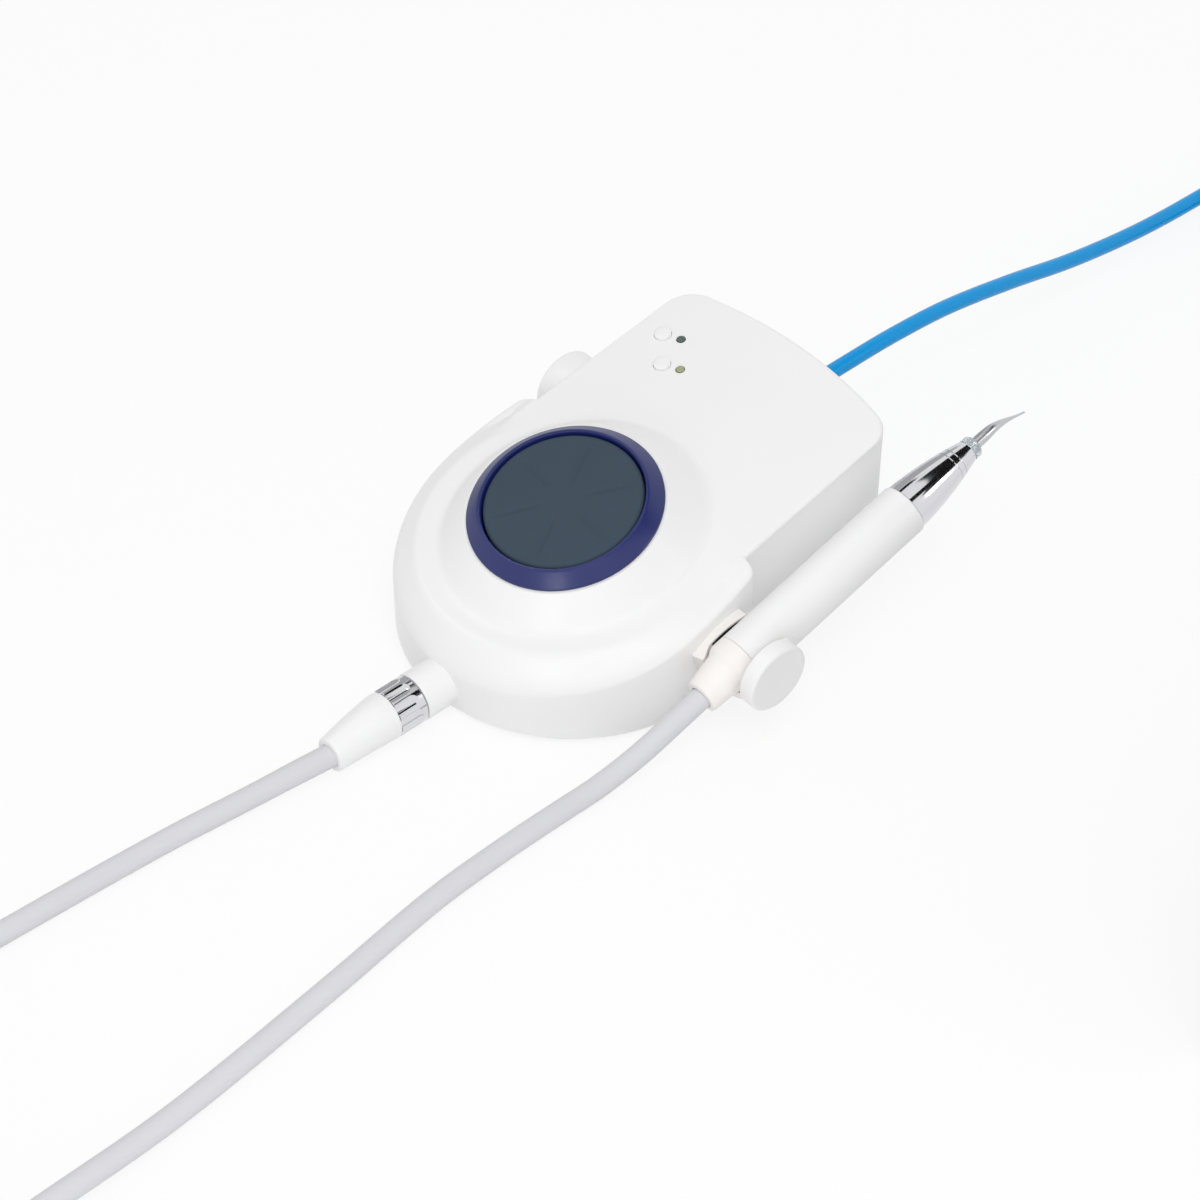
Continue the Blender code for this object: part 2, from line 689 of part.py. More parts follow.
def make_pedal(paint):
    """Bezel, pad, carrier, spring, tower and switch on the pedal's tilted axis."""
    axis = frame("pedal_axis", (0, 0, PEDAL_HEIGHT), (PEDAL_SLOPE, 0, 0))
    bezel = [
        (BEZEL_RADIUS, FIT),
        (BEZEL_RADIUS, FIT + BEZEL_EDGE),
        (BEZEL_BORE + BEZEL_EDGE, BEZEL_RISE),
        (BEZEL_BORE, BEZEL_RISE - BEZEL_EDGE / 2),
        (BEZEL_BORE, -BEZEL_SKIRT_DEPTH),
        (SKIRT_RADIUS, -BEZEL_SKIRT_DEPTH),
        (SKIRT_RADIUS, FIT),
    ]
    piece("pedal_bezel", turned("pedal_bezel", bezel, 48), paint["blue"], axis)

    edge, top = BEZEL_BORE - RUNNING, BEZEL_RISE - BEZEL_EDGE
    pad_low = top - PAD_TOP_THICKNESS
    pad = [
        (0, top + PAD_CROWN),
        (edge * 0.5, top + PAD_CROWN * 0.8),
        (edge * 0.85, top + PAD_CROWN * 0.2),
        (edge - BEZEL_EDGE, top - BEZEL_EDGE / 2),
        (edge, top - 2 * BEZEL_EDGE),
        (edge, pad_low),
        (0, pad_low),
    ]
    piece("pedal_pad", turned("pedal_pad", pad, 48), paint["pad"], axis)

    plate_low = pad_low - FIT - CARRIER_PLATE
    flange_top = -BEZEL_SKIRT_DEPTH - FIT
    flange_low = flange_top - CARRIER_FLANGE
    stem_low = plate_low - STEM_REACH
    carrier = [
        (0, pad_low - FIT),
        (edge, pad_low - FIT),
        (edge, flange_top),
        (SKIRT_RADIUS - FIT, flange_top),
        (SKIRT_RADIUS - FIT, flange_low),
        (edge - CARRIER_PLATE, flange_low),
        (edge - CARRIER_PLATE, plate_low),
        (STEM_RADIUS, plate_low),
        (STEM_RADIUS, stem_low),
        (0, stem_low),
    ]
    piece("pedal_carrier", turned("pedal_carrier", carrier, 40), paint["black"], axis)

    bore = STEM_RADIUS + 4 * RUNNING
    switch_top = stem_low - PEDAL_TRAVEL - FIT
    switch_low = -TOWER_TOP_DEPTH - SWITCH_DEPTH
    tower = [
        (0, switch_low - FIT),
        (bore, switch_low - FIT),
        (bore, -TOWER_TOP_DEPTH),
        (TOWER_RADIUS, -TOWER_TOP_DEPTH),
        (TOWER_RADIUS, -2 * PEDAL_HEIGHT),
        (0, -2 * PEDAL_HEIGHT),
    ]
    standing = piece("pedal_tower", turned("pedal_tower", tower, 24), paint["black"], axis)
    deep = 4 * PEDAL_HEIGHT
    below = block("tower_foot", (-deep, -deep, -deep), (deep, deep, BASE_TOP + FIT))
    foot_cut = cutter("tower_foot", below)
    combine(standing, foot_cut, "DIFFERENCE")

    switch = [
        (0, switch_top),
        (SWITCH_BUTTON_RADIUS, switch_top),
        (SWITCH_BUTTON_RADIUS, switch_top - SWITCH_BUTTON_RADIUS),
        (bore - FIT, switch_top - SWITCH_BUTTON_RADIUS),
        (bore - FIT, switch_low),
        (0, switch_low),
    ]
    piece("foot_switch", turned("foot_switch", switch, 16), paint["black"], axis)

    low = -TOWER_TOP_DEPTH + FIT + SPRING_WIRE / 2
    high = plate_low - FIT - SPRING_WIRE / 2
    count = 12 * SPRING_TURNS
    coil = []
    for n in range(count + 1):
        turn = 2 * pi * SPRING_TURNS * n / count
        lift = low + (high - low) * ease(0, 1, n / count)
        coil.append((SPRING_RADIUS * cos(turn), SPRING_RADIUS * sin(turn), lift))
    tube("pedal_spring", coil, SPRING_WIRE / 2, paint["steel"], 1, axis)


# Deck controls

def make_deck_controls(paint, shell):
    """Two buttons with their lamps, and the small board under the deck that carries their switches."""
    deck = frame("deck_frame", (0, 0, DECK_HEIGHT), (DECK_SLOPE, 0, 0))
    under = -WALL * 1.15 - FIT
    lamp_low = BUTTON_BOARD_TOP + FIT
    lamp_profile = [
        (0, LAMP_RISE),
        (LAMP_RADIUS * 0.6, LAMP_RISE * 0.75),
        (LAMP_RADIUS, 0),
        (LAMP_RADIUS, under),
        (LAMP_RADIUS + 2 * FIT, under),
        (LAMP_RADIUS + 2 * FIT, lamp_low),
        (0, lamp_low),
    ]
    button_profile = [
        (0, BUTTON_RISE),
        (BUTTON_RADIUS * 0.7, BUTTON_RISE * 0.9),
        (BUTTON_RADIUS, BUTTON_RISE * 0.5),
        (BUTTON_RADIUS, under),
        (BUTTON_RADIUS + BUTTON_FLANGE, under),
        (BUTTON_RADIUS + BUTTON_FLANGE, under - BUTTON_FLANGE),
        (BUTTON_RADIUS * 0.7, under - BUTTON_FLANGE),
        (BUTTON_RADIUS * 0.7, -BUTTON_STEM_DEPTH),
        (0, -BUTTON_STEM_DEPTH),
    ]
    half = KEY_SWITCH_SIZE / 2
    switch_low = BUTTON_BOARD_TOP + FIT
    for n, name in enumerate(("power", "turbo")):
        lamp_at = (POWER_LAMP_X + n * LAMP_STEP_X, POWER_LAMP_UP + n * LAMP_STEP_UP, 0)
        button_at = (lamp_at[0] + BUTTON_OFFSET_X, lamp_at[1] + BUTTON_OFFSET_UP, 0)
        lamp = piece(f"{name}_lamp", turned(f"{name}_lamp", lamp_profile, 16), paint[f"{name}_lamp"], deck)
        button = piece(f"{name}_button", turned(f"{name}_button", button_profile, 24), paint["white"], deck)
        switch = piece(
            f"{name}_key_switch",
            block("key_switch", (-half, -half, switch_low), (half, half, switch_low + KEY_SWITCH_HEIGHT)),
            paint["black"],
            deck,
        )
        lamp_cut = rod("lamp_hole", LAMP_RADIUS + FIT, -3 * WALL, WALL, 16)
        lamp_hole = cutter(f"{name}_lamp_hole", lamp_cut, deck)
        button_cut = rod("button_hole", BUTTON_RADIUS + FIT, -3 * WALL, WALL, 24)
        button_hole = cutter(f"{name}_button_hole", button_cut, deck)
        lamp.location = lamp_hole.location = lamp_at
        button.location = button_hole.location = switch.location = button_at
        combine(shell, lamp_hole, "DIFFERENCE")
        combine(shell, button_hole, "DIFFERENCE")

    middle_x = POWER_LAMP_X + (LAMP_STEP_X + BUTTON_OFFSET_X) / 2
    middle_up = POWER_LAMP_UP + (LAMP_STEP_UP + BUTTON_OFFSET_UP) / 2
    wide, long = BUTTON_BOARD_WIDTH / 2, BUTTON_BOARD_LENGTH / 2
    board_low = BUTTON_BOARD_TOP - BUTTON_BOARD_THICKNESS
    board = piece(
        "button_board",
        block("button_board", (-wide, -long, board_low), (wide, long, BUTTON_BOARD_TOP)),
        paint["board"],
        deck,
    )
    board.location = (middle_x, middle_up, 0)
    for n, side in enumerate((1, -1)):
        column = rod("post", BOARD_POST_RADIUS, BUTTON_BOARD_TOP + FIT, -WALL / 2, 12)
        post = cutter(f"board_post_{n + 1}", column, deck)
        post.location = (
            middle_x + side * (wide - BOARD_POST_INSET),
            middle_up + side * (long - BOARD_POST_INSET),
            0,
        )
        combine(shell, post, "UNION")


# Knobs

def knob_profile(radius, back, depth, bore, bore_depth):
    """Round knob from its back face outwards, with a blind bore for its shaft."""
    face = back + depth
    return [
        (0, face),
        (radius - KNOB_EDGE, face),
        (radius, face - KNOB_EDGE),
        (radius, back + KNOB_EDGE),
        (radius - KNOB_EDGE, back),
        (bore, back),
        (bore, back + bore_depth),
        (0, back + bore_depth),
    ]


def make_power_knob(paint, shell):
    """Knob, shaft and potentiometer on the left wall of the block."""
    wall = -block_half_width(POWER_KNOB_Y)
    axis = frame("power_axis", (wall, POWER_KNOB_Y, POWER_KNOB_Z), (0, -pi / 2, 0))
    bore = POWER_SHAFT_RADIUS + FIT
    knob = knob_profile(POWER_KNOB_RADIUS, POWER_KNOB_STANDOFF, POWER_KNOB_DEPTH, bore, POWER_SHAFT_GRIP)
    piece("power_knob", turned("power_knob", knob, 32), paint["white"], axis)
    pot_face = -WALL - RUNNING
    shaft_end = POWER_KNOB_STANDOFF + POWER_SHAFT_GRIP - FIT
    shaft = rod("power_shaft", POWER_SHAFT_RADIUS, pot_face + FIT, shaft_end)
    piece("power_shaft", shaft, paint["steel"], axis)
    pot = rod("power_dial_pot", POT_RADIUS, pot_face - POT_DEPTH, pot_face, 24)
    piece("power_dial_pot", pot, paint["steel"], axis)
    hole = cutter("power_shaft_hole", rod("power_shaft_hole", bore, -3 * WALL, WALL), axis)
    combine(shell, hole, "DIFFERENCE")


def make_clamp_knob(paint, holder):
    """Knob and stud that hold the handpiece in its holder."""
    axis = frame("clamp_axis", (CLAMP_KNOB_X, CLAMP_KNOB_Y, CLAMP_KNOB_Z), (0, pi / 2, 0))
    bore = CLAMP_STUD_RADIUS + FIT
    knob = knob_profile(CLAMP_KNOB_RADIUS, RUNNING, CLAMP_KNOB_DEPTH, bore, CLAMP_STUD_GRIP)
    piece("clamp_knob", turned("clamp_knob", knob, 32), paint["white"], axis)
    stud_end = RUNNING + CLAMP_STUD_GRIP - FIT
    piece("clamp_stud", rod("clamp_stud", CLAMP_STUD_RADIUS, -HOLDER_WALL, stud_end), paint["steel"], axis)
    hole = cutter("clamp_hole", rod("clamp_hole", bore, -2 * HOLDER_WALL, HOLDER_WALL), axis)
    combine(holder, hole, "DIFFERENCE")


# Handpiece and holder

def handpiece_frame(name):
    """Frame whose Z runs along the handpiece to its tip; its Y points down."""
    return frame(name, (HANDPIECE_X, 0, HANDPIECE_Z), (HANDPIECE_SLOPE - pi / 2, 0, 0))


def make_handpiece(paint):
    """Tail, sleeve, converter, nose, lamp ring and tip along the handpiece's axis."""
    axis = handpiece_frame("handpiece_axis")
    sleeve_start = TAIL_START + TAIL_LENGTH + FIT
    sleeve_end = sleeve_start + SLEEVE_LENGTH
    sleeve_bore = HANDPIECE_RADIUS - SLEEVE_WALL
    spigot = sleeve_bore - FIT
    spigot_end = sleeve_start + TAIL_SPIGOT
    boot_end = TAIL_START + TAIL_BOOT_LENGTH
    tail = [
        (0, spigot_end),
        (spigot, spigot_end),
        (spigot, sleeve_start - FIT),
        (HANDPIECE_RADIUS, sleeve_start - FIT),
        (HANDPIECE_RADIUS, boot_end + TAIL_FLARE),
        (TAIL_NECK_RADIUS, boot_end),
        (TAIL_END_RADIUS, TAIL_START + TAIL_ROUND),
        (TAIL_END_RADIUS - TAIL_ROUND, TAIL_START),
        (0, TAIL_START),
    ]
    made = turned("handpiece_tail", tail, 32)
    lean(made, boot_end, TAIL_START, TAIL_SAG)
    piece("handpiece_tail", made, paint["tail"], axis)
    sleeve = [
        (HANDPIECE_RADIUS, sleeve_end),
        (HANDPIECE_RADIUS, sleeve_start),
        (sleeve_bore, sleeve_start),
        (sleeve_bore, sleeve_end),
    ]
    piece("handpiece_sleeve", turned("handpiece_sleeve", sleeve, 32), paint["white"], axis)

    nose_start = sleeve_end + FIT
    nose_end = nose_start + NOSE_LENGTH
    taper = [(n / 5, 1 - (n / 5) ** 1.7) for n in range(6)]
    outside = [
        (NOSE_END_RADIUS + (HANDPIECE_RADIUS - NOSE_END_RADIUS) * width, nose_start + NOSE_LENGTH * along)
        for along, width in reversed(taper)
    ]
    piece(
        "handpiece_nose",
        turned("handpiece_nose", [*outside, *((r - NOSE_WALL, z) for r, z in reversed(outside[::5]))], 28),
        paint["chrome"],
        axis,
    )
    lamp_start = nose_end + FIT
    lamp_end = lamp_start + LAMP_RING_LENGTH
    lamp_bore = HORN_RADIUS + FIT
    lamp_ring = [
        (NOSE_END_RADIUS - NOSE_WALL, lamp_end),
        (NOSE_END_RADIUS, lamp_end - NOSE_WALL),
        (NOSE_END_RADIUS, lamp_start),
        (lamp_bore, lamp_start),
        (lamp_bore, lamp_end),
    ]
    piece("lamp_ring", turned("lamp_ring", lamp_ring, 24), paint["clear"], axis)
    converter = [
        (0, lamp_end),
        (HORN_RADIUS, lamp_end),
        (HORN_RADIUS, nose_start + NOSE_LENGTH / 2),
        (CONVERTER_RADIUS - HORN_RADIUS / 2, nose_start),
        (CONVERTER_RADIUS, sleeve_end - TAIL_SPIGOT),
        (CONVERTER_RADIUS, spigot_end + FIT),
        (0, spigot_end + FIT),
    ]
    piece("ultrasonic_converter", turned("ultrasonic_converter", converter, 24), paint["steel"], axis)

    data = bpy.data.curves.new("scaler_tip", "CURVE")
    data.dimensions = "3D"
    data.bevel_depth = 1.0
    data.bevel_resolution = 2
    data.use_fill_caps = True
    spline = data.splines.new("POLY")
    count = 12
    spline.points.add(count)
    for n, point in enumerate(spline.points):
        share = n / count
        point.co = (0, TIP_HOOK * ease(0.3, 1.25, share), lamp_end + FIT + TIP_LENGTH * share, 1.0)
        point.radius = TIP_RADIUS + (TIP_POINT_RADIUS - TIP_RADIUS) * ease(0.1, 0.95, share)
    piece("scaler_tip", data, paint["steel"], axis)


def holder_profile():
    """U-shaped section of the holder, open upwards, with Y pointing down."""
    bends = [pi * n / 12 for n in range(13)]
    return [
        (HOLDER_RADIUS, -HOLDER_JAW_RISE),
        *((HOLDER_RADIUS * cos(bend), HOLDER_RADIUS * sin(bend)) for bend in bends),
        (-HOLDER_RADIUS, -HOLDER_INNER_JAW_RISE),
        (-CHANNEL_RADIUS, -HOLDER_INNER_JAW_RISE),
        *((-CHANNEL_RADIUS * cos(bend), CHANNEL_RADIUS * sin(bend)) for bend in bends),
        (CHANNEL_RADIUS, -HOLDER_JAW_RISE),
    ]


def make_holder(paint, shell):
    """Open-topped holder with a slanted front that follows the housing's flank and is pegged into it."""
    axis = handpiece_frame("holder_axis")
    stop = HOLDER_START + HOLDER_LENGTH
    channel = prism("handpiece_holder", holder_profile(), HOLDER_START, stop)
    for vertex in channel.vertices:
        if vertex.co.z < stop / 2:
            vertex.co.z += HOLDER_SLANT * (vertex.co.x / HOLDER_RADIUS + 1) / 2
    holder = piece("handpiece_holder", channel, paint["cream"], axis)
    web_in = STEP_HALF_WIDTH - WALL - HANDPIECE_X
    web_out = -CHANNEL_RADIUS - HOLDER_WALL / 2
    web = cutter(
        "holder_web",
        block(
            "holder_web",
            (web_in, FIT - HOLDER_INNER_JAW_RISE, HOLDER_START + FIT),
            (web_out, HOLDER_WEB_DROP, stop - FIT),
        ),
        axis,
    )
    flank = cutter("holder_flank", prism("holder_flank", outline(FIT), -PEDAL_HEIGHT, 2 * PEDAL_HEIGHT))
    combine(holder, web, "UNION")
    combine(holder, flank, "DIFFERENCE")
    middle = HOLDER_START + HOLDER_LENGTH / 2
    for n, side in enumerate((-1, 1)):
        along = middle + side * PEG_SPACING / 2
        y = along * cos(HANDPIECE_SLOPE)
        z = HANDPIECE_Z + along * sin(HANDPIECE_SLOPE)
        inner = STEP_HALF_WIDTH - WALL - PEG_REACH
        peg_frame = frame(f"peg_axis_{n + 1}", (0, y, z), (0, pi / 2, 0))
        peg_end = HANDPIECE_X + web_out
        peg = cutter(f"holder_peg_{n + 1}", rod("holder_peg", PEG_RADIUS, inner, peg_end, 16), peg_frame)
        peg_cut = rod("peg_hole", PEG_RADIUS + FIT, inner - WALL, peg_end, 16)
        hole = cutter(f"peg_hole_{n + 1}", peg_cut, peg_frame)
        combine(holder, peg, "UNION")
        combine(shell, hole, "DIFFERENCE")
    return holder


# Front connector

def make_connector(paint, shell):
    """Socket, collar, coupling ring, plug insert and strain relief at the front; gives the relief's end."""
    axis = frame("connector_axis", (CONNECTOR_X, CONNECTOR_Y, CONNECTOR_Z), (pi / 2, 0, 0))
    collar_bore = COLLAR_RADIUS - COLLAR_WALL
    socket = collar_bore - FIT
    collar = [
        (COLLAR_RADIUS, COLLAR_LENGTH),
        (COLLAR_RADIUS, -WALL),
        (collar_bore, -WALL),
        (collar_bore, COLLAR_LENGTH),
    ]
    made = piece("socket_collar", turned("socket_collar", collar, 32), paint["white"], axis)
    face = cutter("collar_seat", prism("collar_seat", outline(FIT), -PEDAL_HEIGHT, 2 * PEDAL_HEIGHT))
    combine(made, face, "DIFFERENCE")
    socket_end = COLLAR_LENGTH - RING_WALL
    insert = [
        (0, socket_end),
        (socket, socket_end),
        (socket, 2 * FIT),
        (SOCKET_REAR_RADIUS, 2 * FIT),
        (SOCKET_REAR_RADIUS, -SOCKET_DEPTH),
        (0, -SOCKET_DEPTH),
    ]
    piece("front_socket", turned("front_socket", insert, 24), paint["black"], axis)
    socket_cut = rod("socket_hole", SOCKET_REAR_RADIUS + FIT, -4 * WALL, 2 * WALL, 32)
    hole = cutter("socket_hole", socket_cut, axis)
    combine(shell, hole, "DIFFERENCE")

    ring_start = COLLAR_LENGTH + FIT
    ring_end = ring_start + RING_LENGTH
    ring_bore = RING_RADIUS - RING_WALL
    ring = [
        (RING_RADIUS, ring_end),
        (RING_RADIUS, ring_start),
        (ring_bore, ring_start),
        (ring_bore, ring_end),
    ]
    piece("coupling_ring", turned("coupling_ring", ring, 32), paint["chrome"], axis)
    plug = ring_bore - FIT
    relief_start = ring_end + FIT
    plug_end = relief_start + PLUG_SPIGOT
    piece("plug_insert", rod("plug_insert", plug, socket_end + FIT, plug_end, 24), paint["black"], axis)
    relief_end = relief_start + RELIEF_LENGTH
    relief = [
        (0, relief_end),
        (RELIEF_END_RADIUS - FIT, relief_end),
        (RELIEF_END_RADIUS, relief_end - 2 * FIT),
        (RELIEF_RADIUS, relief_start + RELIEF_SHANK),
        (RELIEF_RADIUS, relief_start),
        (plug + FIT, relief_start),
        (plug + FIT, plug_end + FIT),
        (0, plug_end + FIT),
    ]
    made = turned("strain_relief", relief, 32)
    lean(made, relief_start + RELIEF_SHANK, relief_end, -RELIEF_SAG)
    piece("strain_relief", made, paint["white"], axis)
    return Vector((CONNECTOR_X, CONNECTOR_Y - relief_end, CONNECTOR_Z - RELIEF_SAG))


# Cords

def coil_route(centre, outer, turns, radius, low, side):
    """Loops that spiral in on the floor, climb in the half turn where they reverse, and spiral out.

    They start at the left of the centre for side 1, or at its right for side -1, and leave one layer up on
    the opposite side, with a straight run of one tube diameter along Y at each end.
    """
    pitch = 2 * radius + COIL_GAP
    total = 2 * turns + 0.5
    count = round(total * COIL_POINTS)
    route = []
    for n in range(count + 1):
        gone = total * n / count
        back = gone - turns
        if back <= 0:
            reach = outer - pitch * gone
        elif back <= 0.5:
            reach = outer - pitch * turns - pitch * back + 2 * pitch * back * back
        else:
            reach = outer - pitch * turns + pitch * (back - 0.5)
        turn = pi + 2 * pi * gone
        spot = Vector((reach * cos(turn), reach * sin(turn), 0)) * side
        route.append(Vector((*centre, low + pitch * ease(0, 0.5, back))) + spot)
    lead = Vector((0, 2 * radius * side, 0))
    return [route[0] + lead, *route, route[-1] + lead]


def least_gap(route, radius):
    """Least clear distance between loops, measured between points over half a turn apart."""
    apart = COIL_POINTS // 2
    pairs = ((a, b) for n, a in enumerate(route) for b in route[n + apart:])
    return min((a - b).length for a, b in pairs) - 2 * radius


def make_tie(name, centre, middle, width, low, high, paint):
    """Flat strap closed round all the loops of a coil, on the coil's far side."""
    gap = 2 * FIT
    bm = bmesh.new()
    rounds = []
    for edge in (gap, gap + TIE_THICKNESS):
        side, floor, top = width / 2 + edge, low - edge, high + edge
        rounds.append([(-side, floor), (side, floor), (side, top), (-side, top)])
    ends = []
    for x in (-TIE_WIDTH / 2, TIE_WIDTH / 2):
        ends.append([[bm.verts.new((x, middle + y, z)) for y, z in loop] for loop in rounds])
    for n in range(4):
        for (inner, outer) in ends:
            bm.faces.new((inner[n - 1], inner[n], outer[n], outer[n - 1]))
        for ring in (0, 1):
            bm.faces.new((ends[0][ring][n - 1], ends[0][ring][n], ends[1][ring][n], ends[1][ring][n - 1]))
    made = piece(name, mesh_from(name, bm), paint)
    made.location = (*centre, 0)


def coil_with_tie(name, centre, outer, turns, radius, side, paint):
    """Coil raised by the thickness of the strap that goes round it; gives the route of its loops."""
    low = radius + TIE_THICKNESS + 3 * FIT
    route = coil_route(centre, outer, turns, radius, low, side)
    gap = least_gap(route, radius)
    print(f"{name}: least gap between loops {gap * 1000:.2f} mm, at least {LEAST_COIL_GAP * 1000:.2f} mm")
    tube(f"{name}_coil", route, radius, paint[name], 1)
    pitch = 2 * radius + COIL_GAP
    inner = outer - pitch * (turns + 0.25)
    width = outer - inner + 2 * radius
    middle = -side * (outer + inner) / 2
    make_tie(f"{name}_tie", centre, middle, width, low - radius, low + pitch + radius, paint["tie"])
    return route


def stretch(points, first, last, radius):
    """Route through chosen points between two straight ends, each given by a face and a direction."""
    start, leaves = Vector(first[0]), Vector(first[1]).normalized()
    stop, enters = Vector(last[0]), Vector(last[1]).normalized()
    chosen = [start, start + leaves * 3 * radius, *points, stop - enters * 3 * radius, stop]
    return smooth_route(chosen, 5 * radius)


def heading(yaw, dip):
    """Unit direction towards +Y, turned by the yaw towards +X and raised by the dip."""
    return Vector((sin(yaw) * cos(dip), cos(yaw) * cos(dip), sin(dip)))


def end_gap(direction, axis):
    """Distance at which a cord's end, turned away from an axis, clears a face square to that axis."""
    return FIT + CORD_RADIUS * sin(direction.angle(Vector(axis)))


def make_handpiece_cord(paint, relief_end):
    """One cord from the strain relief, through its coil, to the handpiece's tail."""
    centre = (CORD_COIL_X, CORD_COIL_Y)
    loops = coil_with_tie("cord", centre, CORD_COIL_RADIUS, CORD_COIL_TURNS, CORD_RADIUS, 1, paint)
    out = -heading(CORD_FRONT_YAW, CORD_FRONT_DIP)
    leaves = relief_end + out * end_gap(out, (0, -1, 0))
    meets = loops[0] + Vector((0, FIT, 0))
    front = [
        (-0.0031, -0.1400, 0.0049),
        (-0.0066, -0.1700, 0.0043),
        (-0.0096, -0.2200, 0.0043),
        (-0.0117, -0.2800, 0.0047),
    ]
    route = stretch(front, (leaves, out), (meets, (0, -1, 0)), CORD_RADIUS)
    tube("cord_front", route, CORD_RADIUS, paint["cord"], 2)

    along = heading(0, HANDPIECE_SLOPE)
    down = Vector((0, sin(HANDPIECE_SLOPE), -cos(HANDPIECE_SLOPE)))
    tail = Vector((HANDPIECE_X, 0, HANDPIECE_Z)) + along * TAIL_START + down * TAIL_SAG
    enters = heading(CORD_TAIL_YAW, CORD_TAIL_DIP)
    tail -= enters * end_gap(enters, along)
    comes = loops[-1] + Vector((0, FIT, 0))
    rear = [
        (0.0895, -0.2850, 0.0105),
        (0.0855, -0.2350, 0.0056),
        (0.0780, -0.1700, 0.0043),
        (0.0718, -0.1200, 0.0043),
        (0.0706, -0.0880, 0.0043),
        (0.0707, -0.0634, 0.0043),
        (0.0713, -0.0494, 0.0049),
        (0.0723, -0.0360, 0.0079),
        (0.0736, -0.0273, 0.0119),
    ]
    route = stretch(rear, (comes, (0, 1, 0)), (tail, enters), CORD_RADIUS)
    tube("cord_rear", route, CORD_RADIUS, paint["cord"], 2)


def make_water_hose(paint, shell):
    """Inlet fitting, hose with its coil, and the fitting on its far end."""
    axis = frame("inlet_axis", (0, REAR_Y, HOSE_Z), (-pi / 2, 0, 0))
    collar_end = 2 * FIT + INLET_NUT_DEPTH + INLET_COLLAR_LENGTH
    inlet = [
        (0, collar_end),
        (INLET_COLLAR_RADIUS - FIT, collar_end),
        (INLET_COLLAR_RADIUS, collar_end - FIT),
        (INLET_COLLAR_RADIUS, 2 * FIT + INLET_NUT_DEPTH),
        (INLET_NUT_RADIUS, 2 * FIT + INLET_NUT_DEPTH),
        (INLET_NUT_RADIUS, 2 * FIT),
        (INLET_SPIGOT_RADIUS, 2 * FIT),
        (INLET_SPIGOT_RADIUS, -INLET_SPIGOT_DEPTH),
        (0, -INLET_SPIGOT_DEPTH),
    ]
    piece("water_inlet", turned("water_inlet", inlet, 24), paint["brass"], axis)
    hole = cutter("inlet_hole", rod("inlet_hole", INLET_SPIGOT_RADIUS + FIT, -3 * WALL, 2 * WALL, 24), axis)
    combine(shell, hole, "DIFFERENCE")

    centre = (HOSE_COIL_X, HOSE_COIL_Y)
    loops = coil_with_tie("hose", centre, HOSE_COIL_RADIUS, HOSE_COIL_TURNS, HOSE_RADIUS, -1, paint)
    leaves = Vector((0, REAR_Y + collar_end + FIT, HOSE_Z))
    meets = loops[-1] - Vector((0, FIT, 0))
    run = [
        (0.0000, 0.1600, 0.0396),
        (0.0000, 0.1900, 0.0370),
        (0.0000, 0.2250, 0.0300),
        (0.0002, 0.2650, 0.0205),
        (0.0004, 0.3100, 0.0138),
    ]
    route = stretch(run, (leaves, (0, 1, 0)), (meets, (0, 1, 0)), HOSE_RADIUS)
    tube("hose_run", route, HOSE_RADIUS, paint["hose"], 2)

    away = (loops[0] - loops[1]).normalized()
    end = frame("fitting_axis", loops[0] + away * FIT, away.to_track_quat("Z", "Y").to_euler())
    fitting = [
        (0, FITTING_LENGTH),
        (HOSE_RADIUS - FIT, FITTING_LENGTH),
        (HOSE_RADIUS, FITTING_LENGTH * 0.9),
        (HOSE_RADIUS - FIT, FITTING_LENGTH * 0.7),
        (HOSE_RADIUS, FITTING_LENGTH * 0.68),
        (HOSE_RADIUS - FIT, FITTING_LENGTH * 0.45),
        (FITTING_RADIUS, FITTING_LENGTH * 0.44),
        (FITTING_RADIUS, FIT),
        (FITTING_RADIUS - FIT, 0),
        (0, 0),
    ]
    piece("hose_fitting", turned("hose_fitting", fitting, 16), paint["brass"], end)


# Power inlet and the parts on the base plate

def make_power_inlet(paint, shell):
    """Round low-voltage socket in the rear wall."""
    lean = asin(INLET_X / REAR_RADIUS)
    y = REAR_Y - REAR_RADIUS + REAR_RADIUS * cos(lean)
    axis = frame("power_inlet_axis", (INLET_X, y, INLET_Z), (-pi / 2, 0, -lean))
    face = JACK_FLANGE + FIT
    jack = [
        (JACK_PIN_RADIUS, face - FIT),
        (JACK_PIN_RADIUS, face - JACK_BORE_DEPTH),
        (JACK_BORE_RADIUS, face - JACK_BORE_DEPTH),
        (JACK_BORE_RADIUS, face),
        (JACK_FLANGE_RADIUS, face),
        (JACK_FLANGE_RADIUS, FIT),
        (JACK_RADIUS, FIT),
        (JACK_RADIUS, -JACK_DEPTH),
    ]
    profile = [(0, face - FIT), *jack, (0, -JACK_DEPTH)]
    piece("power_inlet", turned("power_inlet", profile, 20), paint["black"], axis)
    opening = rod("power_inlet_hole", JACK_RADIUS + FIT, -3 * WALL, 2 * WALL, 20)
    hole = cutter("power_inlet_hole", opening, axis)
    combine(shell, hole, "DIFFERENCE")


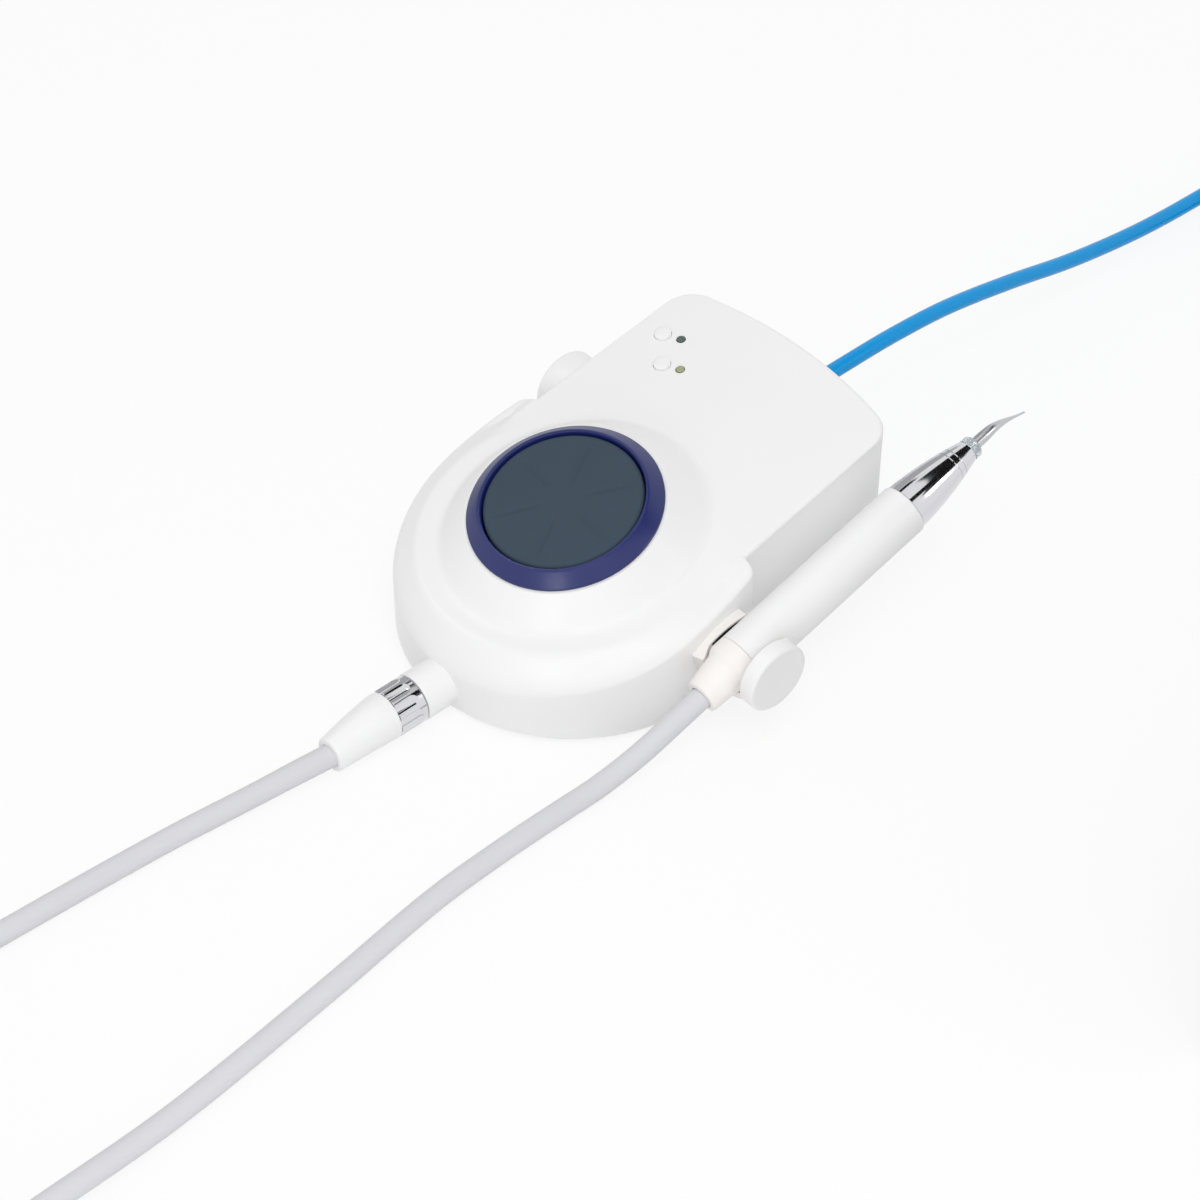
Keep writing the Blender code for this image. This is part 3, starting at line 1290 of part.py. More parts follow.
def make_electronics(paint):
    """Main board with its transformer and heat sink."""
    low = BASE_TOP + STANDOFF_HEIGHT + FIT
    top = low + MAIN_BOARD_THICKNESS
    left, right = MAIN_BOARD_X - MAIN_BOARD_WIDTH / 2, MAIN_BOARD_X + MAIN_BOARD_WIDTH / 2
    front, rear = MAIN_BOARD_Y - MAIN_BOARD_LENGTH / 2, MAIN_BOARD_Y + MAIN_BOARD_LENGTH / 2
    piece("main_board", block("main_board", (left, front, low), (right, rear, top)), paint["board"])
    x, y = right - BOARD_EDGE_MARGIN - TRANSFORMER_WIDTH, front + BOARD_EDGE_MARGIN
    piece(
        "transformer",
        block(
            "transformer",
            (x, y, top + FIT),
            (x + TRANSFORMER_WIDTH, y + TRANSFORMER_LENGTH, top + FIT + TRANSFORMER_HEIGHT),
            BOARD_EDGE_MARGIN / 3,
        ),
        paint["yellow"],
    )
    fin = HEAT_SINK_WIDTH / (2 * HEAT_SINK_FINS - 1)
    comb = [(0, 0), (HEAT_SINK_WIDTH, 0)]
    for n in reversed(range(HEAT_SINK_FINS)):
        start = 2 * n * fin
        comb += [(start + fin, HEAT_SINK_HEIGHT), (start, HEAT_SINK_HEIGHT)]
        if n:
            comb += [(start, HEAT_SINK_FOOT), (start - fin, HEAT_SINK_FOOT)]
    sink_frame = frame(
        "heat_sink_frame",
        (left + BOARD_EDGE_MARGIN, rear - BOARD_EDGE_MARGIN, top + FIT),
        (pi / 2, 0, 0),
    )
    piece("heat_sink", prism("heat_sink", comb, 0, HEAT_SINK_LENGTH), paint["aluminium"], sink_frame)


def make_water_parts(paint):
    """Water valve on the base plate, and the tubes from the inlet and to the front socket."""
    low = BASE_TOP + FIT
    top = low + VALVE_HEIGHT
    half_x, half_y = VALVE_WIDTH / 2, VALVE_LENGTH / 2
    corners = (VALVE_X - half_x, VALVE_Y - half_y, low), (VALVE_X + half_x, VALVE_Y + half_y, top)
    piece("valve_body", block("valve_body", *corners, WALL / 2), paint["brass"])
    winding = rod("valve_coil", VALVE_COIL_RADIUS, top + FIT, top + FIT + VALVE_COIL_HEIGHT, 24)
    coil = piece("valve_coil", winding, paint["black"])
    coil.location = (VALVE_X, VALVE_Y, 0)

    port_z = low + VALVE_HEIGHT / 2
    inlet_end = (0, REAR_Y - INLET_SPIGOT_DEPTH - FIT, HOSE_Z)
    inlet_port = (VALVE_X, VALVE_Y + half_y + FIT, port_z)
    falls = [
        (VALVE_X * 0.18, REAR_Y - INLET_SPIGOT_DEPTH - 4.5 * TUBE_RADIUS, HOSE_Z - 2 * TUBE_RADIUS),
        (VALVE_X * 0.75, VALVE_Y + half_y + 4.5 * TUBE_RADIUS, port_z + 3 * TUBE_RADIUS),
    ]
    route = stretch(falls, (inlet_end, (0, -1, 0)), (inlet_port, (0, -1, 0)), TUBE_RADIUS)
    tube("inlet_tube", route, TUBE_RADIUS, paint["clear"], 2)

    into = Vector((0, -1, 0))
    socket_back = Vector((CONNECTOR_X, CONNECTOR_Y, CONNECTOR_Z)) - into * (SOCKET_DEPTH + FIT)
    outlet_port = (VALVE_X, VALVE_Y - half_y - FIT, port_z)
    passes = [
        (VALVE_X + 2 * TUBE_RADIUS, (VALVE_Y - half_y) * 0.45, port_z + TUBE_RADIUS / 2),
        (VALVE_X, CONNECTOR_Y * 0.12, port_z + TUBE_RADIUS),
        (VALVE_X * 0.5, CONNECTOR_Y * 0.42, port_z + TUBE_RADIUS),
    ]
    route = stretch(passes, (outlet_port, (0, -1, 0)), (socket_back, into), TUBE_RADIUS)
    tube("outlet_tube", route, TUBE_RADIUS, paint["clear"], 2)


def paints():
    """Materials by the names that the pieces use."""
    return {
        "white": material("white_plastic", (0.90, 0.90, 0.90), 0.35),
        "cream": material("cream_plastic", (0.88, 0.86, 0.83), 0.40),
        "blue": material("blue_plastic", (0.030, 0.032, 0.145), 0.30),
        "pad": material("grey_rubber", (0.063, 0.087, 0.114), 0.60),
        "rubber": material("black_rubber", (0.02, 0.02, 0.02), 0.80),
        "grey": material("grey_plastic", (0.55, 0.56, 0.58), 0.50),
        "black": material("black_plastic", (0.03, 0.03, 0.03), 0.45),
        "steel": material("steel", (0.60, 0.60, 0.62), 0.30, 1.0),
        "chrome": material("chrome", (0.80, 0.80, 0.82), 0.10, 1.0),
        "brass": material("plated_brass", (0.72, 0.70, 0.62), 0.25, 1.0),
        "aluminium": material("aluminium", (0.75, 0.75, 0.76), 0.35, 1.0),
        "tail": material("tail_plastic", (0.78, 0.78, 0.80), 0.45),
        "clear": material("clear_plastic", (0.85, 0.88, 0.90), 0.15),
        "cord": material("cord_silicone", (0.68, 0.68, 0.72), 0.50),
        "hose": material("hose_blue", (0.01, 0.33, 0.66), 0.25),
        "tie": material("tie_strap", (0.05, 0.05, 0.06), 0.60),
        "board": material("circuit_board", (0.02, 0.16, 0.07), 0.50),
        "yellow": material("winding_tape", (0.70, 0.52, 0.08), 0.50),
        "power_lamp": material("green_lamp", (0.02, 0.12, 0.06), 0.20),
        "turbo_lamp": material("olive_lamp", (0.30, 0.33, 0.08), 0.20),
    }


def main():
    """Clear the scene and model the scaler."""
    for old in list(bpy.data.objects):
        bpy.data.objects.remove(old, do_unlink=True)
    paint = paints()
    shell = make_housing(paint)
    make_base(paint)
    make_pedal(paint)
    make_deck_controls(paint, shell)
    make_power_knob(paint, shell)
    make_handpiece(paint)
    holder = make_holder(paint, shell)
    make_clamp_knob(paint, holder)
    relief_end = make_connector(paint, shell)
    make_handpiece_cord(paint, relief_end)
    make_water_hose(paint, shell)
    make_power_inlet(paint, shell)
    make_electronics(paint)
    make_water_parts(paint)


main()
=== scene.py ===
"""Ultrasonic scaler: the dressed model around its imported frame, with stage, light and camera."""

from __future__ import annotations

import logging
from contextlib import contextmanager
from dataclasses import dataclass, field
from enum import Enum
from math import asin, atan2, cos, hypot, pi, radians, sin, tan
from typing import Callable, Iterator, Sequence

import bmesh
import bpy
import numpy as np
from mathutils import Matrix, Vector


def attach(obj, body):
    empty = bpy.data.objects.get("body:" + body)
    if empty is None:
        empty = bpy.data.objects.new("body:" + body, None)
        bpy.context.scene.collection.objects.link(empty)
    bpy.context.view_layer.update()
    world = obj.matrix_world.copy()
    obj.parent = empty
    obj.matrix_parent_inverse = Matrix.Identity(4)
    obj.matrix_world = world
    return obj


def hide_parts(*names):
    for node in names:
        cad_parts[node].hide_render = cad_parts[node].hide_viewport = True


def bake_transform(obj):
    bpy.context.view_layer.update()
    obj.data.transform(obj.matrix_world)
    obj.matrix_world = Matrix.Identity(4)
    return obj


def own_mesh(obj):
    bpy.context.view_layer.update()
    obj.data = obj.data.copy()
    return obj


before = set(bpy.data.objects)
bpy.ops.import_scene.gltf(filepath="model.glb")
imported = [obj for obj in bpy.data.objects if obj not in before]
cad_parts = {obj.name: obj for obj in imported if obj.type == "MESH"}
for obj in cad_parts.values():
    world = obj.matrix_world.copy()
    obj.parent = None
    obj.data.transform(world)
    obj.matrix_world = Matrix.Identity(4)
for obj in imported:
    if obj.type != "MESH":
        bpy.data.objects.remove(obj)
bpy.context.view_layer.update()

log = logging.getLogger("scaler")

# Clearances, and the distance below which points are merged
FIT = 0.0003
RUNNING = 0.0004
TINY = 0.000001

# Middle of the clamp knob's seat on the holder, and the radius of the bores for its stud
CLAMP_PLACE = (0.08815, 0.0118, 0.032884)
STUD_BORE = 0.0028

Point = Sequence[float]
Profile = list[tuple[float, float]]
Piece = bpy.types.Object
Tree = bpy.types.NodeTree
Node = bpy.types.Node
Socket = bpy.types.NodeSocket


class Body(str, Enum):
    """Bodies of the frame that pieces ride on."""

    BASE = "base"
    PEDAL = "pedal"
    POWER_BUTTON = "power_button"
    TURBO_BUTTON = "turbo_button"
    POWER_DIAL = "power_dial"
    CLAMP = "clamp"
    COUPLING = "coupling"
    HANDPIECE = "handpiece"


class Slot(str, Enum):
    """Material slots of the record."""

    WHITE = "white_plastic"
    CREAM = "cream_plastic"
    BLUE = "blue_plastic"
    PAD = "grey_rubber"
    RUBBER = "black_rubber"
    GREY = "grey_plastic"
    BLACK = "black_plastic"
    STEEL = "steel"
    CHROME = "chrome"
    BRASS = "plated_brass"
    ALUMINIUM = "aluminium"
    TAIL = "tail_plastic"
    CLEAR = "clear_plastic"
    CORD = "cord_silicone"
    HOSE = "hose_blue"
    TIE = "tie_strap"
    BOARD = "circuit_board"
    TAPE = "winding_tape"
    GREEN_LAMP = "green_lamp"
    OLIVE_LAMP = "olive_lamp"


def tint(red: int, green: int, blue: int) -> tuple[float, float, float]:
    """Linear colour of a display colour given in steps of 255."""
    shares = (value / 255 for value in (red, green, blue))
    return tuple(s / 12.92 if s <= 0.04045 else ((s + 0.055) / 1.055) ** 2.4 for s in shares)


def ease(low: float, high: float, value: np.ndarray | float) -> np.ndarray:
    """Smooth step from 0 at low to 1 at high."""
    share = np.clip((np.asarray(value, float) - low) / (high - low), 0.0, 1.0)
    return share * share * (3 - 2 * share)


def feed(tree: Tree, node: Node, inputs: dict[str | int, object]) -> None:
    """Links each named input of a node to a socket, or sets its constant.

    Args:
        tree: the node tree.
        node: the node.
        inputs: a socket or a constant for each input.
    """
    for key, value in inputs.items():
        if isinstance(value, bpy.types.NodeSocket):
            tree.links.new(value, node.inputs[key])
        else:
            node.inputs[key].default_value = value


def wired(tree: Tree, kind: str, inputs: dict[str | int, object], **options: object) -> Node:
    """Adds a shader node and feeds its inputs.

    Args:
        tree: the node tree.
        kind: the node's type, without the start that all shader nodes share.
        inputs: a socket or a constant for each input.
        options: the node's own settings.

    Returns:
        The node.
    """
    node = tree.nodes.new(f"ShaderNode{kind}")
    for key, value in options.items():
        setattr(node, key, value)
    feed(tree, node, inputs)
    return node


@dataclass(frozen=True)
class Finish:
    """A surface with grain, a slight unevenness of colour and an uneven gloss.

    grain and patch are noise scales per metre, relief is the grain's height in metres, and mottle and
    gloss_shift are how far colour and roughness wander.
    """

    slot: Slot
    colour: tuple[float, float, float]
    roughness: float
    metallic: float = 0.0
    grain: float = 1500.0
    relief: float = 0.000012
    patch: float = 55.0
    mottle: float = 0.03
    gloss_shift: float = 0.05
    specular: float = 0.4
    clear: float = 0.0

    def material(self) -> bpy.types.Material:
        """Node material of this finish, made once.

        Returns:
            The material.
        """
        name = f"finish_{self.slot.value}"
        if name in bpy.data.materials:
            return bpy.data.materials[name]
        made = bpy.data.materials.new(name)
        made.use_nodes = True
        made.diffuse_color = (*self.colour, 1.0)
        tree = made.node_tree
        place = tree.nodes.new("ShaderNodeTexCoord").outputs["Object"]
        grain = {"Distance": self.relief, "Strength": 1.0, "Height": self.grain_height(tree, place)}
        surface = {
            "Metallic": self.metallic,
            "Specular IOR Level": self.specular,
            "Transmission Weight": self.clear,
            "Base Color": self.colour_at(tree, place),
            "Roughness": self.gloss_at(tree, place),
            "Normal": wired(tree, "Bump", grain).outputs["Normal"],
        }
        feed(tree, tree.nodes["Principled BSDF"], surface)
        return made

    @staticmethod
    def noise(tree: Tree, place: Socket, scale: float, detail: float) -> Socket:
        """Noise at a scale per metre."""
        return wired(tree, "TexNoise", {"Scale": scale, "Detail": detail, "Vector": place}).outputs["Fac"]

    @staticmethod
    def mixed(tree: Tree, first: Point, second: Point, share: Socket) -> Socket:
        """Blend of two colours."""
        colours = {"A": (*first, 1.0), "B": (*second, 1.0), "Factor": share}
        return wired(tree, "Mix", colours, data_type="RGBA").outputs["Result"]

    def colour_at(self, tree: Tree, place: Socket) -> Socket:
        """Base colour that wanders between a lighter and a darker form of the written one.

        Args:
            tree: the material's node tree.
            place: the piece's own coordinates.

        Returns:
            The colour's socket.
        """
        light = [min(1.0, c * (1 + self.mottle)) for c in self.colour]
        dark = [c * (1 - self.mottle) for c in self.colour]
        return self.mixed(tree, light, dark, self.noise(tree, place, self.patch, 3.0))

    def gloss_at(self, tree: Tree, place: Socket) -> Socket:
        """Roughness that wanders a little over the surface.

        Args:
            tree: the material's node tree.
            place: the piece's own coordinates.

        Returns:
            The roughness's socket.
        """
        span = {
            "To Min": max(0.02, self.roughness - self.gloss_shift),
            "To Max": min(1.0, self.roughness + self.gloss_shift),
            "Value": self.noise(tree, place, self.patch * 4, 4.0),
        }
        return wired(tree, "MapRange", span).outputs["Result"]

    def grain_height(self, tree: Tree, place: Socket) -> Socket:
        """Height of the grain: plain noise."""
        return self.noise(tree, place, self.grain, 2.0)


@dataclass(frozen=True)
class Stippled(Finish):
    """Rubber or textured plastic with small round pips."""

    def grain_height(self, tree: Tree, place: Socket) -> Socket:
        """Height of the pips: distance to the nearest cell's middle."""
        cells = {"Scale": self.grain, "Vector": place}
        return wired(tree, "TexVoronoi", cells, feature="SMOOTH_F1").outputs["Distance"]


@dataclass(frozen=True)
class Turned(Finish):
    """Metal with fine lines that run along one direction of the piece."""

    stretch: tuple[float, float, float] = (1.0, 1.0, 0.05)

    def grain_height(self, tree: Tree, place: Socket) -> Socket:
        """Height of the lines: noise drawn out along one axis."""
        drawn = wired(tree, "Mapping", {"Scale": self.stretch, "Vector": place})
        return self.noise(tree, drawn.outputs["Vector"], self.grain, 3.0)


@dataclass(frozen=True)
class Printed(Finish):
    """Circuit board with fine tracks under its solder resist."""

    track: tuple[float, float, float] = (0.05, 0.30, 0.13)
    track_edges: tuple[float, float] = (0.42, 0.45)

    def colour_at(self, tree: Tree, place: Socket) -> Socket:
        """Base colour with lighter tracks in a square net of cells.

        Args:
            tree: the material's node tree.
            place: the piece's own coordinates.

        Returns:
            The colour's socket.
        """
        cells = wired(tree, "TexVoronoi", {"Scale": self.patch, "Vector": place}, distance="CHEBYCHEV")
        low, high = self.track_edges
        edge = {"From Min": low, "From Max": high, "Value": cells.outputs["Distance"]}
        return self.mixed(tree, self.colour, self.track, wired(tree, "MapRange", edge).outputs["Result"])


FINISHES: dict[Slot, Finish] = {
    finish.slot: finish
    for finish in (
        Finish(Slot.WHITE, tint(240, 240, 240), 0.34, mottle=0.008, relief=0.000006),
        Finish(Slot.CREAM, tint(241, 238, 235), 0.42, mottle=0.012, relief=0.000008),
        Finish(Slot.BLUE, tint(25, 36, 99), 0.30, mottle=0.06, relief=0.000008, specular=0.5),
        Stippled(Slot.PAD, tint(62, 76, 89), 0.60, grain=1400.0, relief=0.00003, mottle=0.05, specular=0.12),
        Stippled(Slot.RUBBER, tint(38, 38, 40), 0.82, grain=700.0, relief=0.0001, mottle=0.12),
        Finish(Slot.GREY, tint(186, 188, 190), 0.52, relief=0.00003),
        Finish(Slot.BLACK, tint(44, 44, 46), 0.46, relief=0.00002, mottle=0.10),
        Turned(Slot.STEEL, tint(196, 197, 200), 0.28, metallic=1.0, relief=0.000006),
        Turned(Slot.CHROME, tint(216, 216, 220), 0.10, metallic=1.0, relief=0.000002, gloss_shift=0.03),
        Turned(Slot.BRASS, tint(214, 210, 198), 0.24, metallic=1.0, relief=0.000006, mottle=0.06),
        Turned(Slot.ALUMINIUM, tint(218, 219, 221), 0.36, metallic=1.0, relief=0.00001),
        Finish(Slot.TAIL, tint(243, 239, 237), 0.44, mottle=0.012, relief=0.000008),
        Finish(Slot.CLEAR, tint(232, 238, 242), 0.12, clear=0.75, relief=0.000003, mottle=0.01),
        Finish(Slot.CORD, tint(213, 213, 217), 0.48, mottle=0.015, relief=0.00001, specular=0.3),
        Finish(Slot.HOSE, tint(4, 152, 222), 0.22, mottle=0.05, relief=0.000005, specular=0.25),
        Stippled(Slot.TIE, tint(52, 52, 56), 0.6, grain=2600.0, relief=0.00006, mottle=0.1),
        Printed(Slot.BOARD, tint(24, 92, 52), 0.42, patch=260.0, relief=0.00001),
        Turned(Slot.TAPE, tint(214, 178, 72), 0.42, relief=0.00002, stretch=(0.2, 1.0, 6.0)),
        Finish(Slot.GREEN_LAMP, tint(95, 112, 106), 0.16, clear=0.25, mottle=0.05, relief=0.000002),
        Finish(Slot.OLIVE_LAMP, tint(182, 186, 148), 0.16, clear=0.25, mottle=0.05, relief=0.000002),
    )
}


class Bench:
    """Blender's modelling operators, used on one piece at a time as by hand."""

    @staticmethod
    def clear() -> None:
        """Deselects everything in the scene."""
        if bpy.context.object and bpy.context.object.mode != "OBJECT":
            bpy.ops.object.mode_set(mode="OBJECT")
        bpy.ops.object.select_all(action="DESELECT")

    @staticmethod
    def take(piece: Piece) -> None:
        """Makes one piece the only selected and active one.

        Args:
            piece: the piece.
        """
        Bench.clear()
        piece.select_set(True)
        bpy.context.view_layer.objects.active = piece

    @staticmethod
    def named(name: str) -> Piece:
        """Gives the piece that was just added its name.

        Args:
            name: the piece's name.

        Returns:
            The piece.
        """
        piece = bpy.context.object
        piece.name = name
        piece.data.name = name
        return piece

    @staticmethod
    @contextmanager
    def editing(piece: Piece) -> Iterator[bmesh.types.BMesh]:
        """Edit mode on one piece.

        Args:
            piece: the piece.

        Yields:
            Its edit mesh.
        """
        Bench.take(piece)
        bpy.ops.object.mode_set(mode="EDIT")
        yield bmesh.from_edit_mesh(piece.data)
        bmesh.update_edit_mesh(piece.data)
        bpy.ops.object.mode_set(mode="OBJECT")

    @staticmethod
    def close() -> None:
        """Merges seams and poles in edit mode and points the faces outwards."""
        bpy.ops.mesh.select_all(action="SELECT")
        bpy.ops.mesh.remove_doubles(threshold=TINY)
        bpy.ops.mesh.normals_make_consistent(inside=False)

    @staticmethod
    def spun(name: str, profile: Profile, steps: int = 64) -> Piece:
        """Piece turned round Z from a profile drawn point by point.

        Args:
            name: the piece's name.
            profile: (radius, height) points; one that keeps off the axis ends where it starts.
            steps: facets round the axis.

        Returns:
            The piece, round its own Z axis.
        """
        Bench.clear()
        bpy.ops.mesh.primitive_plane_add(size=FIT)
        piece = Bench.named(name)
        with Bench.editing(piece) as sketch:
            bpy.ops.mesh.select_all(action="SELECT")
            bpy.ops.mesh.merge(type="CENTER")
            sketch.verts.ensure_lookup_table()
            sketch.verts[0].co = (profile[0][0], 0.0, profile[0][1])
            for (radius, height), (to_radius, to_height) in zip(profile, profile[1:]):
                step = (to_radius - radius, 0.0, to_height - height)
                bpy.ops.mesh.extrude_region_move(TRANSFORM_OT_translate={"value": step})
            bpy.ops.mesh.select_all(action="SELECT")
            bpy.ops.mesh.spin(steps=steps, angle=2 * pi, center=(0, 0, 0), axis=(0, 0, 1))
            Bench.close()
        return piece

    @staticmethod
    def lofted(name: str, rings: Sequence[np.ndarray], capped: bool = False) -> Piece:
        """Piece drawn out ring by ring from a circle; it closes on its first ring unless it is capped.

        Args:
            name: the piece's name.
            rings: places of each ring's points, all of one count.
            capped: fills the first and the last ring.

        Returns:
            The piece.
        """
        Bench.clear()
        count = len(rings[0])
        bpy.ops.mesh.primitive_circle_add(vertices=count, radius=1.0, fill_type="NOTHING")
        piece = Bench.named(name)
        with Bench.editing(piece) as sketch:
            ray = sketch.verts.layers.int.new("ray")
            for number, vert in enumerate(sketch.verts):
                vert[ray] = number
                vert.co = rings[0][number]
            bpy.ops.mesh.select_all(action="SELECT")
            if capped:
                bpy.ops.mesh.edge_face_add()
                bpy.ops.mesh.select_all(action="SELECT")
            for ring in [*rings[1:], *([] if capped else [rings[0]])]:
                bpy.ops.mesh.extrude_region_move(TRANSFORM_OT_translate={"value": (0, 0, 0)})
                sketch = bmesh.from_edit_mesh(piece.data)
                ray = sketch.verts.layers.int["ray"]
                for vert in sketch.verts:
                    if vert.select:
                        vert.co = ring[vert[ray]]
            Bench.close()
        return piece

    @staticmethod
    def drawn(name: str, outline: Sequence[Point], low: float, high: float) -> Piece:
        """Flat outline extruded from one height to another.

        Args:
            name: the piece's name.
            outline: (x, y) points.
            low: lower height.
            high: upper height.

        Returns:
            The piece.
        """
        rings = [np.array([(*point[:2], height) for point in outline]) for height in (low, high)]
        return Bench.lofted(name, rings, capped=True)

    @staticmethod
    def block(name: str, low: Point, high: Point) -> Piece:
        """Box between two corners, as a start for cutting and joining.

        Args:
            name: the piece's name.
            low: its lowest corner.
            high: its highest corner.

        Returns:
            The box.
        """
        Bench.clear()
        size = [b - a for a, b in zip(low, high)]
        middle = [(a + b) / 2 for a, b in zip(low, high)]
        bpy.ops.mesh.primitive_cube_add(size=1.0, location=middle, scale=size)
        piece = Bench.named(name)
        bpy.ops.object.transform_apply(location=True, rotation=True, scale=True)
        return piece

    @staticmethod
    def finish(piece: Piece, kind: str, **settings: object) -> None:
        """Adds one modifier with its settings and applies it.

        Args:
            piece: the piece.
            kind: the modifier's type.
            settings: its settings.
        """
        Bench.take(piece)
        step = piece.modifiers.new(kind.title(), kind)
        for key, value in settings.items():
            setattr(step, key, value)
        bpy.ops.object.modifier_apply(modifier=step.name)

    @staticmethod
    def rounded(piece: Piece, width: float, segments: int = 3, angle: float = 35.0) -> None:
        """Bevels the edges that are sharper than an angle in degrees."""
        edges = {"limit_method": "ANGLE", "angle_limit": radians(angle), "use_clamp_overlap": True}
        Bench.finish(piece, "BEVEL", width=width, segments=segments, harden_normals=False, **edges)

    @staticmethod
    def combine(piece: Piece, tool: Piece, operation: str) -> None:
        """Joins or cuts a piece with a tool, which is then thrown away."""
        Bench.finish(piece, "BOOLEAN", operation=operation, object=tool, solver="EXACT")
        bpy.data.objects.remove(tool, do_unlink=True)

    @staticmethod
    def placed(piece: Piece, place: Matrix) -> Piece:
        """Moves a piece by moving its mesh, so that its object stays at the origin."""
        piece.data.transform(place)
        return piece

    @staticmethod
    def leaned(piece: Piece, start: float, stop: float, reach: float) -> Piece:
        """Bends a turned piece along Y, from nothing at one height to the reach at another.

        Args:
            piece: the piece, round Z.
            start: height where the bend starts.
            stop: height where it reaches its full measure.
            reach: that measure.

        Returns:
            The piece.
        """
        with Bench.editing(piece) as sketch:
            for vert in sketch.verts:
                share = min(max((vert.co.z - start) / (stop - start), 0.0), 1.0)
                vert.co.y += reach * share**1.4
        return piece

    @staticmethod
    def smooth(piece: Piece, angle: float = 32.0) -> None:
        """Shades a piece smooth up to an angle in degrees."""
        Bench.take(piece)
        bpy.ops.object.shade_smooth_by_angle(angle=radians(angle))

    @staticmethod
    def copy(piece: Piece, name: str) -> Piece:
        """Copy of a piece with its own mesh.

        Args:
            piece: the piece.
            name: the copy's name.

        Returns:
            The copy.
        """
        twin = piece.copy()
        twin.data = piece.data.copy()
        twin.name = twin.data.name = name
        bpy.context.scene.collection.objects.link(twin)
        return twin

    @staticmethod
    def joined(pieces: Sequence[Piece], name: str) -> Piece:
        """Several pieces as one.

        Args:
            pieces: the pieces.
            name: the name of the whole.

        Returns:
            The whole.
        """
        Bench.take(pieces[0])
        for piece in pieces:
            piece.select_set(True)
        bpy.ops.object.join()
        return Bench.named(name)

    @staticmethod
    def cut_round(piece: Piece, tool: Piece, count: int, start: float = 0.0) -> None:
        """Cuts a tool into a piece at even turns round Z, and throws the tool away.

        Args:
            piece: the piece, round Z.
            tool: the cutting tool at its first place.
            count: number of cuts.
            start: turn of the first cut.
        """
        for n in range(count):
            turn = Matrix.Rotation(start + 2 * pi * n / count, 4, "Z")
            Bench.combine(piece, Bench.placed(Bench.copy(tool, "cut"), turn), "DIFFERENCE")
        bpy.data.objects.remove(tool, do_unlink=True)


def hand_over(piece: Piece, body: Body, slot: Slot, *nodes: str, angle: float = 32.0) -> Piece:
    """Dresses a finished piece and puts it on its body in place of its CAD nodes.

    Args:
        piece: the finished piece.
        body: the body that it rides on.
        slot: the record's slot that it takes its finish from.
        nodes: CAD nodes that it stands for.
        angle: shading angle in degrees, or 0 to leave the shading.

    Returns:
        The piece.
    """
    if angle:
        Bench.smooth(piece, angle)
    piece.data.materials.clear()
    piece.data.materials.append(FINISHES[slot].material())
    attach(piece, body.value)
    if nodes:
        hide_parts(*nodes)
    log.info("%s rides on %s in %s", piece.name, body.value, slot.value)
    return piece


def tilted(location: Point, about_x: float = 0.0, about_y: float = 0.0, about_z: float = 0.0) -> Matrix:
    """Placing matrix of a frame that is turned about X, then Y, then Z."""
    turns = Matrix.Rotation(about_y, 4, "Y") @ Matrix.Rotation(about_x, 4, "X")
    return Matrix.Translation(location) @ Matrix.Rotation(about_z, 4, "Z") @ turns


def rod(name: str, radius: float, low: float, high: float, place: Matrix, steps: int = 32) -> Piece:
    """Round bar along the Z axis of a frame, for cutting and joining."""
    profile = [(0, high), (radius, high), (radius, low), (0, low)]
    return Bench.placed(Bench.spun(name, profile, steps), place)


def round_edge(radius: float, height: float, size: float) -> Profile:
    """Quarter round from a turned piece's wall to its end face.

    Args:
        radius: radius of the wall.
        height: height of the end face.
        size: size of the rounding, below 0 at a lower end face.

    Returns:
        Points of the profile, from the wall to the face.
    """
    bends = np.linspace(0, pi / 2, 6)
    return [(radius - abs(size) * (1 - cos(b)), height - size * (1 - sin(b))) for b in bends]


